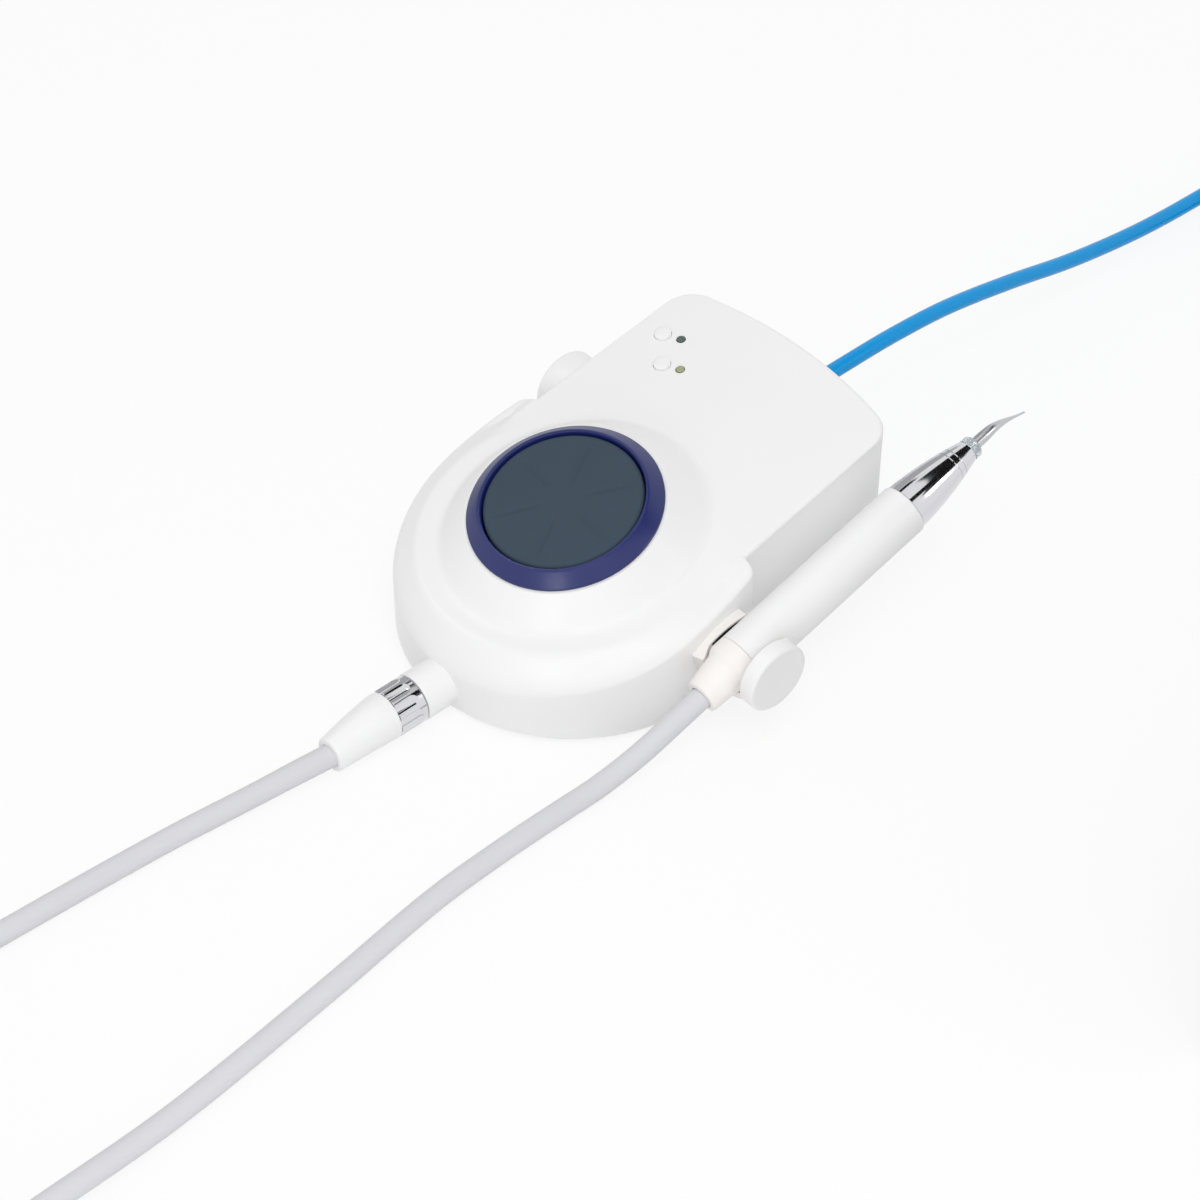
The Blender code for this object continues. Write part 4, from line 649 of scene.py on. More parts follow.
@dataclass
class Housing:
    """Upper shell, anti-slip pad and case screws.

    hose_z and inlet_end say where the water hose starts: its height, and how far behind the rear wall.
    """

    front_radius: float = 0.0633
    front_centre: float = 0.0032
    step_y: float = 0.0335
    step_half: float = 0.0604
    block_front_half: float = 0.0546
    block_rear_half: float = 0.0526
    corner_y: float = 0.1058
    rear_bulge: float = 0.0072
    corner_radius: float = 0.0120
    step_corner: float = 0.0034
    step_fillet: float = 0.0020
    wall: float = 0.0025
    deck_height: float = 0.0413
    deck_slope: float = radians(10.64)
    front_shoulder: float = 0.0030
    rear_shoulder: float = 0.0020
    floor_gap: float = 0.0016
    pedal_height: float = 0.0530
    pedal_slope: float = radians(14.75)
    seat_radius: float = 0.0360
    opening_radius: float = 0.0314
    mound_half_width: float = 0.0460
    mound_half_length: float = 0.0500
    mound_shift: float = 0.0045
    crease: float = 0.0020
    brim_radius: float = 0.0542
    brim_width: float = 0.0080
    brim_drop: float = 0.0047
    brim_tilt: float = 0.083
    pad_thickness: float = 0.0020
    boss_y: float = 0.0975
    boss_inset: float = 0.0063
    boss_turn: float = radians(52)
    pad_margin: float = 0.0012
    pad_rim: float = 0.0035
    pad_recess: float = 0.0007
    hose_z: float = 0.0399
    inlet_end: float = 0.0126

    @property
    def rear_y(self) -> float:
        """Rearmost place of the housing."""
        return self.corner_y + self.rear_bulge

    @property
    def rear_radius(self) -> float:
        """Radius of the bulged rear in plan."""
        return (self.block_rear_half**2 + self.rear_bulge**2) / (2 * self.rear_bulge)

    @staticmethod
    def fillet(before: Vector, corner: Vector, after: Vector, radius: float, steps: int) -> list[Vector]:
        """Arc that rounds the corner between two straight runs.

        Args:
            before: a point of the first run.
            corner: where the runs meet.
            after: a point of the second run.
            radius: radius of the arc.
            steps: pieces of the arc.

        Returns:
            Points of the arc.
        """
        back, on = (before - corner).normalized(), (after - corner).normalized()
        half = back.angle(on) / 2
        centre = corner + (back + on).normalized() * radius / sin(half)
        first = corner + back * radius / tan(half) - centre
        last = corner + on * radius / tan(half) - centre
        sweep = atan2(first.x * last.y - first.y * last.x, first.dot(last))
        return [centre + Matrix.Rotation(sweep * n / steps, 2) @ first for n in range(steps + 1)]

    def right_half(self) -> list[Vector]:
        """Outline of the right half.

        Returns:
            Points from the middle of the front to the middle of the rear.
        """
        bends = [pi / 2 * n / 44 for n in range(45)]
        r = self.front_radius
        front = [Vector((r * sin(b), self.front_centre - r * cos(b))) for b in bends]
        rise, draw_in = self.step_y - self.front_centre, self.front_radius - self.step_half
        radius = (rise**2 + draw_in**2) / (2 * draw_in)
        full = asin(rise / radius)
        left = self.front_radius - radius
        leans = [full * n / 18 for n in range(1, 19)]
        flank = [Vector((left + radius * cos(b), self.front_centre + radius * sin(b))) for b in leans]
        outer, inner = flank[-1], Vector((self.block_front_half, self.step_y))
        corner = Vector((self.block_rear_half, self.corner_y))
        reach = asin(self.block_rear_half / self.rear_radius)
        middle = self.rear_y - self.rear_radius
        rear = [
            Vector((self.rear_radius * sin(reach * n / 24), middle + self.rear_radius * cos(reach * n / 24)))
            for n in range(24)
        ]
        step = [
            *self.fillet(flank[-5], outer, inner, self.step_corner, 7),
            *self.fillet(outer, inner, corner, self.step_fillet, 5),
        ]
        turn = self.fillet(inner, corner, rear[-4], self.corner_radius, 14)
        side = [step[-1].lerp(turn[0], n / 22) for n in range(1, 22)]
        rear_part = [p for p in reversed(rear) if p.x < turn[-1].x - 0.001]
        flank_part = [p for p in flank if (p - outer).length > self.step_corner * 1.3]
        return [*front, *flank_part, *step, *side, *turn, *rear_part]

    def outline(self, offset: float = 0.0) -> np.ndarray:
        """Closed outline, anticlockwise from the front, moved outwards by an offset.

        Args:
            offset: distance outwards; inward moves stay short of the step's small convex rounding.

        Returns:
            Points of shape (count, 2).
        """
        right = self.right_half()
        loop = np.array([*right, *(Vector((-p.x, p.y)) for p in reversed(right[1:-1]))])
        ahead, behind = np.roll(loop, -1, axis=0), np.roll(loop, 1, axis=0)
        along = ahead - behind
        along /= np.linalg.norm(along, axis=1, keepdims=True)
        square = np.stack((along[:, 1], -along[:, 0]), axis=1)
        bend = (ahead - loop)[:, 0] * (loop - behind)[:, 1] - (ahead - loop)[:, 1] * (loop - behind)[:, 0]
        tight = (bend < 0) & (np.abs(np.abs(loop[:, 0]) - self.step_half) < self.step_corner)
        tight &= np.abs(loop[:, 1] - self.step_y) < self.step_corner
        reach = np.where(tight, max(offset, -0.8 * self.step_corner), offset)
        return loop + square * reach[:, None]

    def block_half(self, y: float) -> float:
        """Half width of the rear block at a distance behind the pedal."""
        share = (y - self.step_y) / (self.corner_y - self.step_y)
        return self.block_front_half + (self.block_rear_half - self.block_front_half) * share

    def top_z(self, x: np.ndarray, y: np.ndarray) -> np.ndarray:
        """Height of the outer top before its shoulder is rounded.

        Args:
            x: distances to the right.
            y: distances behind the pedal's middle.

        Returns:
            The heights.
        """
        along = y / cos(self.pedal_slope)
        radius = np.maximum(np.hypot(x, along), self.seat_radius / 2)
        cosine, sine = x / radius, along / radius
        foot = self.foot_radius(cosine, sine)
        seat = self.pedal_height + self.seat_radius * sine * sin(self.pedal_slope)
        ground = self.deck_height + foot * sine * cos(self.pedal_slope) * tan(self.deck_slope)
        mound = seat + (ground - seat) * (radius - self.seat_radius) / (foot - self.seat_radius)
        deck = self.deck_height + y * tan(self.deck_slope)
        near = np.maximum(self.crease - np.abs(mound - deck), 0.0)
        top = np.maximum(mound, deck) + near * near / (4 * self.crease)
        past = radius - self.brim_radius
        brim = np.minimum((np.sqrt(past * past + 0.0008**2) + past) / 2 / self.brim_width, 1.0)
        aside = ease(self.block_front_half, self.block_front_half + 0.0034, np.abs(x))
        brim = brim * (1 - ease(0.008, 0.030, y) * (1 - aside))
        return top - brim * (self.brim_drop - self.brim_tilt * y)

    def foot_radius(self, cosine: np.ndarray, sine: np.ndarray) -> np.ndarray:
        """Radius from the pedal's axis to the oval foot of its mound, in the pedal's plane.

        Args:
            cosine: share of the direction that points right.
            sine: share that points to the rear.

        Returns:
            The radii.
        """
        wide, long, shift = self.mound_half_width, self.mound_half_length, self.mound_shift
        square = (cosine / wide) ** 2 + (sine / long) ** 2
        lean = shift * sine / long**2
        return (lean + np.sqrt(lean * lean - square * ((shift / long) ** 2 - 1))) / square

    def shell_rings(self) -> list[np.ndarray]:
        """Rings of points out over the top, down the wall and back under the top.

        Returns:
            The rings, each with the outline's count of points.
        """
        rim, inside = self.outline(), self.outline(-self.wall)
        far = np.linalg.norm(rim, axis=1)
        heading = rim / far[:, None]
        stretch = np.hypot(heading[:, 0], heading[:, 1] / cos(self.pedal_slope))
        square = (rim - inside) / np.linalg.norm(rim - inside, axis=1)[:, None]
        to_rear = ease(-0.012, 0.036, rim[:, 1])
        size = self.front_shoulder + (self.rear_shoulder - self.front_shoulder) * to_rear
        shoulder = size * np.maximum((square * heading).sum(axis=1), 0.4)

        def over(reach: np.ndarray, drop: np.ndarray | float) -> np.ndarray:
            """Ring at a reach from the middle, below the top by a drop."""
            spots = heading * reach[:, None]
            return np.column_stack((spots, self.top_z(spots[:, 0], spots[:, 1]) - drop))

        def circle(radius: float, height: float) -> np.ndarray:
            """Ring round the pedal's axis.

            Args:
                radius: its radius.
                height: its height along the axis.

            Returns:
                The ring's points.
            """
            turn = np.arctan2(heading[:, 1] / cos(self.pedal_slope), heading[:, 0])
            flat = np.column_stack((radius * np.cos(turn), radius * np.sin(turn), np.full(len(turn), height)))
            place = tilted((0, 0, self.pedal_height), self.pedal_slope)
            return np.array([place @ Vector(p) for p in flat])

        near = self.seat_radius / stretch
        edge = far - shoulder
        sine = heading[:, 1] / cos(self.pedal_slope) / stretch
        foot = self.foot_radius(heading[:, 0] / stretch, sine) / stretch
        rings = [circle(self.opening_radius, 0.0), circle(self.seat_radius, 0.0)]
        for share in (0.06, 0.15, 0.27, 0.40, 0.53, 0.66, 0.77, 0.86, 0.93, 1.0, 1.07):
            rings.append(over(near + (foot - near) * share, 0.0))
        reach = near + (foot - near) * 1.07
        for share in (0.12, 0.24, 0.36, 0.46, 0.54, 0.62, 0.70, 0.78, 0.86, 0.93):
            rings.append(over(reach + (edge - reach) * share, 0.0))
        for bend in (pi / 2 * n / 9 for n in range(10)):
            rings.append(over(far - shoulder * (1 - sin(bend)), shoulder * (1 - cos(bend))))
        top = rings[-1][:, 2]
        for share in (0.7, 0.4, 0.12):
            rings.append(np.column_stack((rim, self.floor_gap + (top - self.floor_gap) * share)))
        rings.append(np.column_stack((rim, np.full(len(rim), self.floor_gap + 0.0005))))
        rings.append(np.column_stack((rim - square * 0.0005, np.full(len(rim), self.floor_gap))))
        rings.append(np.column_stack((inside, np.full(len(rim), self.floor_gap))))
        under = self.top_z(inside[:, 0], inside[:, 1]) - shoulder - self.wall / 2
        rings.append(np.column_stack((inside, under)))
        inner_edge = np.linalg.norm(inside, axis=1) - shoulder - self.wall
        rings.append(over(inner_edge, self.wall * 1.08))
        for share in (0.8, 0.6, 0.4, 0.2):
            rings.append(over(near + (inner_edge - near) * share, self.wall * 1.15))
        rings.append(circle(self.opening_radius, -self.wall))
        return rings

    def screw_places(self) -> list[tuple[float, float]]:
        """Middles of the case screws.

        Returns:
            Their (x, y) places.
        """
        rear = self.block_half(self.boss_y) - self.boss_inset
        reach = self.front_radius - self.boss_inset
        front = (reach * sin(self.boss_turn), self.front_centre - reach * cos(self.boss_turn))
        return [(side * x, y) for side in (1, -1) for x, y in ((rear, self.boss_y), front)]

    def build_shell(self, holes: Sequence[Piece]) -> None:
        """Shell with the openings that the other pieces pass through.

        Args:
            holes: cutting tools, already in place.
        """
        shell = Bench.lofted("housing_shell", self.shell_rings())
        for hole in holes:
            Bench.combine(shell, hole, "DIFFERENCE")
        hand_over(shell, Body.BASE, Slot.WHITE, "top_shell", angle=28)

    def build_base(self) -> None:
        """Anti-slip pad with a raised rim and pips, and case screws with cross slots."""
        margin = self.wall + FIT + self.pad_margin
        pad = Bench.drawn("anti_slip_pad", self.outline(-margin), 0.0, self.pad_thickness)
        with Bench.editing(pad) as sketch:
            bpy.ops.mesh.select_all(action="DESELECT")
            bpy.ops.mesh.select_mode(type="FACE")
            for face in sketch.faces:
                face.select_set(face.normal.z < -0.9)
            bpy.ops.mesh.inset(thickness=self.pad_rim)
            bpy.ops.mesh.extrude_region_move(TRANSFORM_OT_translate={"value": (0, 0, self.pad_recess)})
            bpy.ops.mesh.select_mode(type="VERT")
        Bench.rounded(pad, 0.0004, 2)
        hand_over(pad, Body.BASE, Slot.RUBBER, "base_pad")
        self.build_pips()
        low = self.pad_thickness + FIT
        shank, head, seat, point = 0.0015, 0.0024, low + 0.0018, low + 0.013
        profile = [(0, point), (0.0011, point), (shank, low + 0.0115), (shank, seat)]
        profile += [(head, seat), (head, low + 0.0003), (0.0021, low), (0, low)]
        for number, (x, y) in enumerate(self.screw_places(), 1):
            screw = Bench.spun(f"case_screw_head_{number}", profile, 32)
            for turn in (0.0, pi / 2):
                slot = Bench.block("slot", (-0.0014, -0.00025, low - 0.001), (0.0014, 0.00025, low + 0.0009))
                Bench.placed(slot, Matrix.Rotation(turn, 4, "Z"))
                Bench.combine(screw, slot, "DIFFERENCE")
            Bench.placed(screw, Matrix.Translation((x, y, 0)))
            hand_over(screw, Body.BASE, Slot.STEEL, f"case_screw_{number}")

    def build_pips(self) -> None:
        """Round grip pips in rows on the pad's underside."""
        inside = self.outline(-0.0110)
        profile = [(0, 0.0008), (0.0017, 0.0008), (0.0015, 0.0001), (0.0010, 0.0), (0, 0.0)]
        first = Bench.spun("pip", profile, 12)
        pips = []
        for row, y in enumerate(np.arange(-0.048, 0.104, 0.0105)):
            across = inside[np.abs(inside[:, 1] - y) < 0.0085]
            if not len(across):
                continue
            half = float(np.abs(across[:, 0]).min() if y > 0 else np.abs(across[:, 0]).max()) - 0.001
            for x in np.arange(-0.0495, 0.0496, 0.009) + (0.0045 if row % 2 else 0.0):
                if abs(x) < half:
                    pip = Bench.copy(first, "pip_copy")
                    pips.append(Bench.placed(pip, Matrix.Translation((x, y, 0))))
        bpy.data.objects.remove(first, do_unlink=True)
        hand_over(Bench.joined(pips, "pad_pips"), Body.BASE, Slot.RUBBER)


@dataclass
class Pedal:
    """Bezel ring, foot pad and return spring on the pedal's tilted axis."""

    housing: Housing
    radius: float = 0.0350
    bore: float = 0.0288
    rise: float = 0.0053
    skirt_radius: float = 0.0310
    skirt_depth: float = 0.0070
    pad_low: float = -0.0013
    pad_top: float = 0.0047
    crown: float = 0.0006
    groove_depth: float = 0.00045
    grooves: int = 6
    groove_turn: float = radians(-5)
    travel: float = 0.0030

    @property
    def place(self) -> Matrix:
        """Frame of the pedal's axis."""
        return tilted((0, 0, self.housing.pedal_height), self.housing.pedal_slope)

    def build_bezel(self) -> None:
        """Conical ring with softly rounded edges and a skirt through the housing."""
        inner = self.bore + 0.0002
        profile = [
            (self.radius, FIT),
            (self.radius, FIT + 0.0005),
            (self.radius - 0.0004, FIT + 0.0009),
            (self.radius - 0.0016, FIT + 0.0017),
            (inner + 0.0016, self.rise - 0.0005),
            (inner + 0.0008, self.rise - 0.0001),
            (inner + 0.0003, self.rise - 0.0001),
            (inner, self.rise - 0.0005),
            (inner, -self.skirt_depth),
            (self.skirt_radius - 0.0002, -self.skirt_depth),
            (self.skirt_radius - 0.0002, FIT),
            (self.radius, FIT),
        ]
        bezel = Bench.placed(Bench.spun("pedal_ring", profile, 160), self.place)
        hand_over(bezel, Body.BASE, Slot.BLUE, "pedal_bezel", angle=40)

    def build_pad(self) -> None:
        """Crowned pad with a rounded edge and shallow grooves that run outwards."""
        edge = self.bore - RUNNING
        crown = [(edge * s, self.pad_top + self.crown * (1 - s * s)) for s in np.linspace(0, 0.95, 34)]
        lip = [
            (edge - 0.0009, self.pad_top - 0.0001),
            (edge - 0.0004, self.pad_top - 0.0004),
            (edge - 0.0001, self.pad_top - 0.0009),
            (edge, self.pad_top - 0.0015),
            (edge, self.pad_low),
            (0, self.pad_low),
        ]
        pad = Bench.spun("foot_pad", [*crown, *lip], 192)
        with Bench.editing(pad) as sketch:
            for vert in sketch.verts:
                if vert.co.z > self.pad_top - 0.00005:
                    vert.co.z -= self.groove(vert.co.x, vert.co.y)
        Bench.placed(pad, self.place)
        hand_over(pad, Body.PEDAL, Slot.PAD, "pedal_pad", angle=40)

    def groove(self, x: float, y: float) -> float:
        """Depth of the grooves at a place on the pad.

        Args:
            x: distance to the right of the axis.
            y: distance behind the axis.

        Returns:
            The depth.
        """
        reach = hypot(x, y)
        along = float(ease(0.006, 0.011, reach) * (1 - ease(0.021, 0.027, reach)))
        depth = 0.0
        for turn in (self.groove_turn + 2 * pi * n / self.grooves for n in range(self.grooves)):
            aside = -x * sin(turn) + y * cos(turn)
            ahead = x * cos(turn) + y * sin(turn)
            if ahead > 0:
                across = 1 - float(ease(0.0002, 0.0014, abs(aside)))
                depth = max(depth, self.groove_depth * along * across)
        return depth

    def build_spring(self) -> None:
        """Return spring from its CAD node's mesh, dressed in steel on the base."""
        spring = bpy.data.objects.new("return_spring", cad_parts["pedal_spring"].data.copy())
        bpy.context.scene.collection.objects.link(spring)
        with Bench.editing(spring):
            Bench.close()
        hand_over(spring, Body.BASE, Slot.STEEL, "pedal_spring")
        lifts = [(self.place.inverted() @ vertex.co).z for vertex in spring.data.vertices]
        tuple(self.place.col[2].xyz)
        tuple(self.place @ Vector((0, 0, min(lifts))))
        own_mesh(spring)


@dataclass
class DeckControls:
    """Push buttons and indicator lamps on the sloping deck."""

    housing: Housing
    lamp_x: float = -0.0352
    lamp_up: float = 0.0882
    lamp_step: tuple[float, float] = (0.0104, -0.0102)
    button_offset: tuple[float, float] = (-0.0068, -0.0026)
    lamp_radius: float = 0.0015
    lamp_rise: float = 0.0009
    button_radius: float = 0.0030
    button_rise: float = 0.0013
    button_crown: float = 0.0005
    button_flange: float = 0.0010
    button_foot: float = -0.0089
    lamp_flange: float = 0.0006
    lamp_foot: float = -0.0137
    under: float = -0.003175

    def place(self, number: int, button: bool) -> Matrix:
        """Frame of a lamp or a button on the deck.

        Args:
            number: 0 for the rear pair, 1 for the front pair.
            button: the pair's button, not its lamp.

        Returns:
            The frame, whose Z is square to the deck.
        """
        x = self.lamp_x + number * self.lamp_step[0] + (self.button_offset[0] if button else 0.0)
        up = self.lamp_up + number * self.lamp_step[1] + (self.button_offset[1] if button else 0.0)
        deck = tilted((0, 0, self.housing.deck_height), self.housing.deck_slope)
        return deck @ Matrix.Translation((x, up, 0))

    def holes(self) -> list[Piece]:
        """Cutting tools for the openings in the deck.

        Returns:
            The tools, in place.
        """
        tools = []
        for number in (0, 1):
            for button, radius in ((False, self.lamp_radius), (True, self.button_radius)):
                place = self.place(number, button)
                tools.append(rod("deck_hole", radius + FIT, -0.0075, 0.0025, place, 40))
        return tools

    def build(self) -> None:
        """Domed buttons and lenses."""
        kinds = (("power", Body.POWER_BUTTON, Slot.GREEN_LAMP), ("turbo", Body.TURBO_BUTTON, Slot.OLIVE_LAMP))
        bends, under = np.linspace(0, pi / 2, 9), self.under
        for number, (name, body, lamp) in enumerate(kinds):
            r, low, crown = self.button_radius + FIT / 2, under - self.button_flange, self.button_crown
            dome = [(r * sin(b), self.button_rise - crown + crown * cos(b)) for b in bends]
            stem = [(r, under), (r + self.button_flange, under), (r + self.button_flange, low)]
            stem += [(r * 0.7, low), (r * 0.7, self.button_foot), (0, self.button_foot)]
            button = Bench.spun(f"{name}_push_button", [*dome, *stem], 48)
            Bench.placed(button, self.place(number, True))
            hand_over(button, body, Slot.WHITE, f"{name}_button", angle=45)
            r, wide = self.lamp_radius, self.lamp_radius + self.lamp_flange
            dome = [(r * sin(b), self.lamp_rise * cos(b)) for b in bends]
            stem = [(r, under), (wide, under), (wide, self.lamp_foot), (0, self.lamp_foot)]
            lens = Bench.spun(f"{name}_lens", [*dome, *stem], 40)
            Bench.placed(lens, self.place(number, False))
            hand_over(lens, Body.BASE, lamp, f"{name}_lamp", angle=45)


@dataclass
class Knobs:
    """Power knob on the left wall and clamp knob on the holder."""

    housing: Housing
    power_radius: float = 0.0133
    clamp_radius: float = 0.0127
    power_y: float = 0.0567
    power_z: float = 0.0348
    power_depth: float = 0.0110
    power_standoff: float = 0.0010
    clamp_depth: float = 0.0060
    face_round: float = 0.0012
    back_round: float = 0.0006
    shaft_bore: float = 0.0033

    @property
    def power_frame(self) -> Matrix:
        """Frame of the power knob's axis, which points left."""
        return tilted((-self.housing.block_half(self.power_y), self.power_y, self.power_z), about_y=-pi / 2)

    def knob(
        self, name: str, radius: float, back: float, depth: float, bore: float, bore_depth: float
    ) -> Piece:
        """Round knob with softly rounded edges and a shallow dished face.

        Args:
            name: the piece's name.
            radius: outer radius.
            back: height of its back face.
            depth: thickness.
            bore: radius of its shaft's bore.
            bore_depth: depth of the bore.

        Returns:
            The knob, round Z.
        """
        face, r = back + depth, radius
        near = round_edge(r, face, self.face_round)[::-1]
        far = round_edge(r, back, -self.back_round)
        rest = [(bore, back), (bore, back + bore_depth), (0, back + bore_depth)]
        dish = [(0, face - 0.0004), (r * 0.55, face - 0.00035), (r * 0.80, face - 0.0001)]
        return Bench.spun(name, [*dish, *near, *far, *rest], 96)

    def holes(self) -> list[Piece]:
        """Cutting tool for the power knob's shaft."""
        return [rod("shaft_hole", self.shaft_bore, -0.0075, 0.0025, self.power_frame)]

    def build(self) -> None:
        """Both knobs."""
        back, depth = self.power_standoff, self.power_depth
        power = self.knob("power_dial", self.power_radius, back, depth, self.shaft_bore, 0.007)
        hand_over(Bench.placed(power, self.power_frame), Body.POWER_DIAL, Slot.WHITE, "power_knob", angle=40)
        clamp = self.knob("clamp_hand_knob", self.clamp_radius, RUNNING, self.clamp_depth, STUD_BORE, 0.0036)
        place = tilted(CLAMP_PLACE, about_y=pi / 2)
        hand_over(Bench.placed(clamp, place), Body.CLAMP, Slot.WHITE, "clamp_knob", angle=40)


@dataclass
class Handpiece:
    """Tail, sleeve, nose, lamp ring and tip, and the holder that they lie in."""

    housing: Housing
    x: float = 0.0760
    z: float = 0.02564
    slope: float = radians(15.37)
    radius: float = 0.00955
    tail_start: float = -0.0068
    tail_end: float = 0.0120
    boot_end: float = 0.0035
    flare: float = 0.0045
    neck_radius: float = 0.0077
    end_radius: float = 0.0065
    tail_sag: float = 0.0016
    sleeve_end: float = 0.0926
    nose_end: float = 0.1239
    nose_radius: float = 0.0042
    holder_start: float = 0.0020
    holder_end: float = 0.0255
    holder_slant: float = 0.0037
    holder_wall: float = 0.0022
    jaw_rise: float = 0.0080
    inner_jaw_rise: float = 0.0042
    jaw_arch: float = 0.0026
    tip_gap: float = 0.0042
    tip_length: float = 0.0240
    tip_hook: float = 0.0080
    tip_radii: tuple[float, float] = (0.0022, 0.0004)

    @property
    def place(self) -> Matrix:
        """Frame whose Z runs along the handpiece to its tip and whose Y points down."""
        return tilted((self.x, 0, self.z), self.slope - pi / 2)

    def build(self) -> None:
        """The handpiece's own pieces."""
        self.build_tail()
        self.build_sleeve()
        self.build_nose()
        self.build_tip()

    def turned(self, name: str, profile: Profile, steps: int = 80) -> Piece:
        """Piece turned round the handpiece's axis."""
        return Bench.placed(Bench.spun(name, profile, steps), self.place)

    def build_tail(self) -> None:
        """Tail that narrows to a soft boot with a cord mouth, and its spigot into the sleeve."""
        r, neck, tip = self.radius, self.neck_radius, self.end_radius
        start, end = self.tail_start, self.tail_end
        high, spigot_radius, spigot_end = end + 0.0002, 0.00775, end + 0.0063
        profile = [(0, spigot_end), (spigot_radius, spigot_end), (spigot_radius, high)]
        profile += [(r - 0.0001, high), (r, high - 0.0001)]
        for share in np.linspace(0, 1, 9):
            along = self.boot_end + self.flare * (1 - share)
            profile.append((r + (neck - r) * float(ease(0, 1, share)), along))
        for share in (0.2, 0.4, 0.6, 0.8):
            along = self.boot_end + (start + 0.001 - self.boot_end) * share
            profile.append((neck + (tip - neck) * share, along))
        profile += round_edge(tip, start, -0.001)
        profile += [(0.0043, start), (0.0042, start + 0.0004), (0.0041, start + 0.0012), (0, start + 0.0012)]
        tail = Bench.leaned(Bench.spun("handpiece_end", profile, 80), self.boot_end, start, self.tail_sag)
        hand_over(Bench.placed(tail, self.place), Body.HANDPIECE, Slot.TAIL, "handpiece_tail", angle=40)

    def build_sleeve(self) -> None:
        """Long grip sleeve with slightly broken ends."""
        r, start, end, bore = self.radius, self.tail_end + FIT, self.sleeve_end, self.radius - 0.0015
        profile = [
            (bore, start),
            (r - 0.0001, start),
            (r, start + 0.0001),
            (r, (start + end) / 2),
            *round_edge(r, end, 0.0009),
            (bore, end),
            (bore, start),
        ]
        hand_over(self.turned("grip_sleeve", profile), Body.HANDPIECE, Slot.WHITE, "handpiece_sleeve")

    def build_nose(self) -> None:
        """Bright tapered nose with two fine rings, and the lamp ring at its end."""
        start = self.sleeve_end + 0.00003
        length = self.nose_end - start
        thin, extra = self.nose_radius, self.radius - 0.0006 - self.nose_radius
        taper = [(thin + extra * (1 - s**1.7), start + length * s) for s in np.linspace(0, 1, 25)]
        ringed = []
        for n, (r, s) in enumerate(taper):
            ringed.append((r, s))
            if n in (17, 19):
                ringed += [(r - 0.0003, s + 0.0001), (r - 0.0003, s + 0.0004), (r - 0.0001, s + 0.0005)]
        inner = [(r - 0.0011, s) for r, s in (taper[-1], taper[0])]
        nose = self.turned("metal_nose", [*ringed, *inner, ringed[0]], 96)
        hand_over(nose, Body.HANDPIECE, Slot.CHROME, "handpiece_nose", angle=25)
        low, high, r = self.nose_end + FIT, self.nose_end + FIT + 0.0036, self.nose_radius
        ring = [(0.0029, low), (r, low), (r, high - 0.0012), (r - 0.0006, high - 0.0004), (r - 0.0013, high)]
        ring += [(0.0029, high), (0.0029, low)]
        hand_over(self.turned("light_guide", ring, 64), Body.HANDPIECE, Slot.CLEAR, "lamp_ring", angle=40)

    def build_tip(self) -> None:
        """Slim hooked scaling tip with a round foot."""
        foot, point = self.tip_radii
        rings = []
        turns = np.linspace(0, 2 * pi, 24, endpoint=False)
        for share in np.linspace(0, 1, 41):
            radius = foot + (point - foot) * float(ease(0.1, 0.95, share))
            y = self.tip_hook * float(ease(0.3, 1.25, share))
            z = self.nose_end + self.tip_gap + self.tip_length * share
            rings.append(np.array([(radius * cos(t), y + radius * sin(t), z) for t in turns]))
        tip = Bench.placed(Bench.lofted("scaling_tip", rings, capped=True), self.place)
        hand_over(tip, Body.HANDPIECE, Slot.STEEL, "scaler_tip", angle=40)

    def reach_at(self, along: float) -> float:
        """Radius of the tail or the sleeve at a place along the axis.

        Args:
            along: the place.

        Returns:
            The radius.
        """
        if along > self.boot_end:
            narrow = float(ease(0, 1, (self.boot_end + self.flare - along) / self.flare))
            return self.radius + (self.neck_radius - self.radius) * narrow
        narrow = (self.boot_end - along) / (self.boot_end - self.tail_start)
        return self.neck_radius + (self.end_radius - self.neck_radius) * narrow

    def inner_rise(self, share: float) -> float:
        """Height of the inner jaw's arched top above the axis, at a share of the holder's length."""
        return self.inner_jaw_rise - self.jaw_arch * (2 * share - 1) ** 2

    def trough(self, name: str, inside: float, outside: float, drop: float, span: Point) -> Piece:
        """U-shaped trough that follows the tail and the sleeve, open upwards.

        Args:
            name: its name.
            inside: clearance to the handpiece.
            outside: how far its outside stands off the handpiece, or 0 to reach the holder's outside.
            drop: how far its edges stay below the jaws' tops.
            span: share of the holder's length that it covers.

        Returns:
            The trough, in the handpiece's frame.
        """
        widest = self.radius + RUNNING + self.holder_wall
        bends = [pi * n / 40 for n in range(41)]
        solid, hollow = [], []
        for share in np.linspace(*span, 17):
            for rings, gap, rises in (
                (solid, outside, (self.jaw_rise - drop, self.inner_rise(share) - drop)),
                (hollow, inside, (0.03, 0.03)),
            ):
                ring = []
                for bend, rise in [(0.0, rises[0]), *((bend, 0.0) for bend in bends), (pi, rises[1])]:
                    low = self.holder_start + self.holder_slant * (cos(bend) + 1) / 2
                    along = low + (self.holder_end - low) * share
                    reach = self.reach_at(along) + gap if gap else widest
                    ring.append((reach * cos(bend), reach * sin(bend) - rise, along))
                rings.append(np.array(ring))
        hollow[0][:, 2] -= 0.003
        hollow[-1][:, 2] += 0.003
        piece = Bench.lofted(name, solid, capped=True)
        Bench.combine(piece, Bench.lofted("hollow", hollow, capped=True), "DIFFERENCE")
        return piece

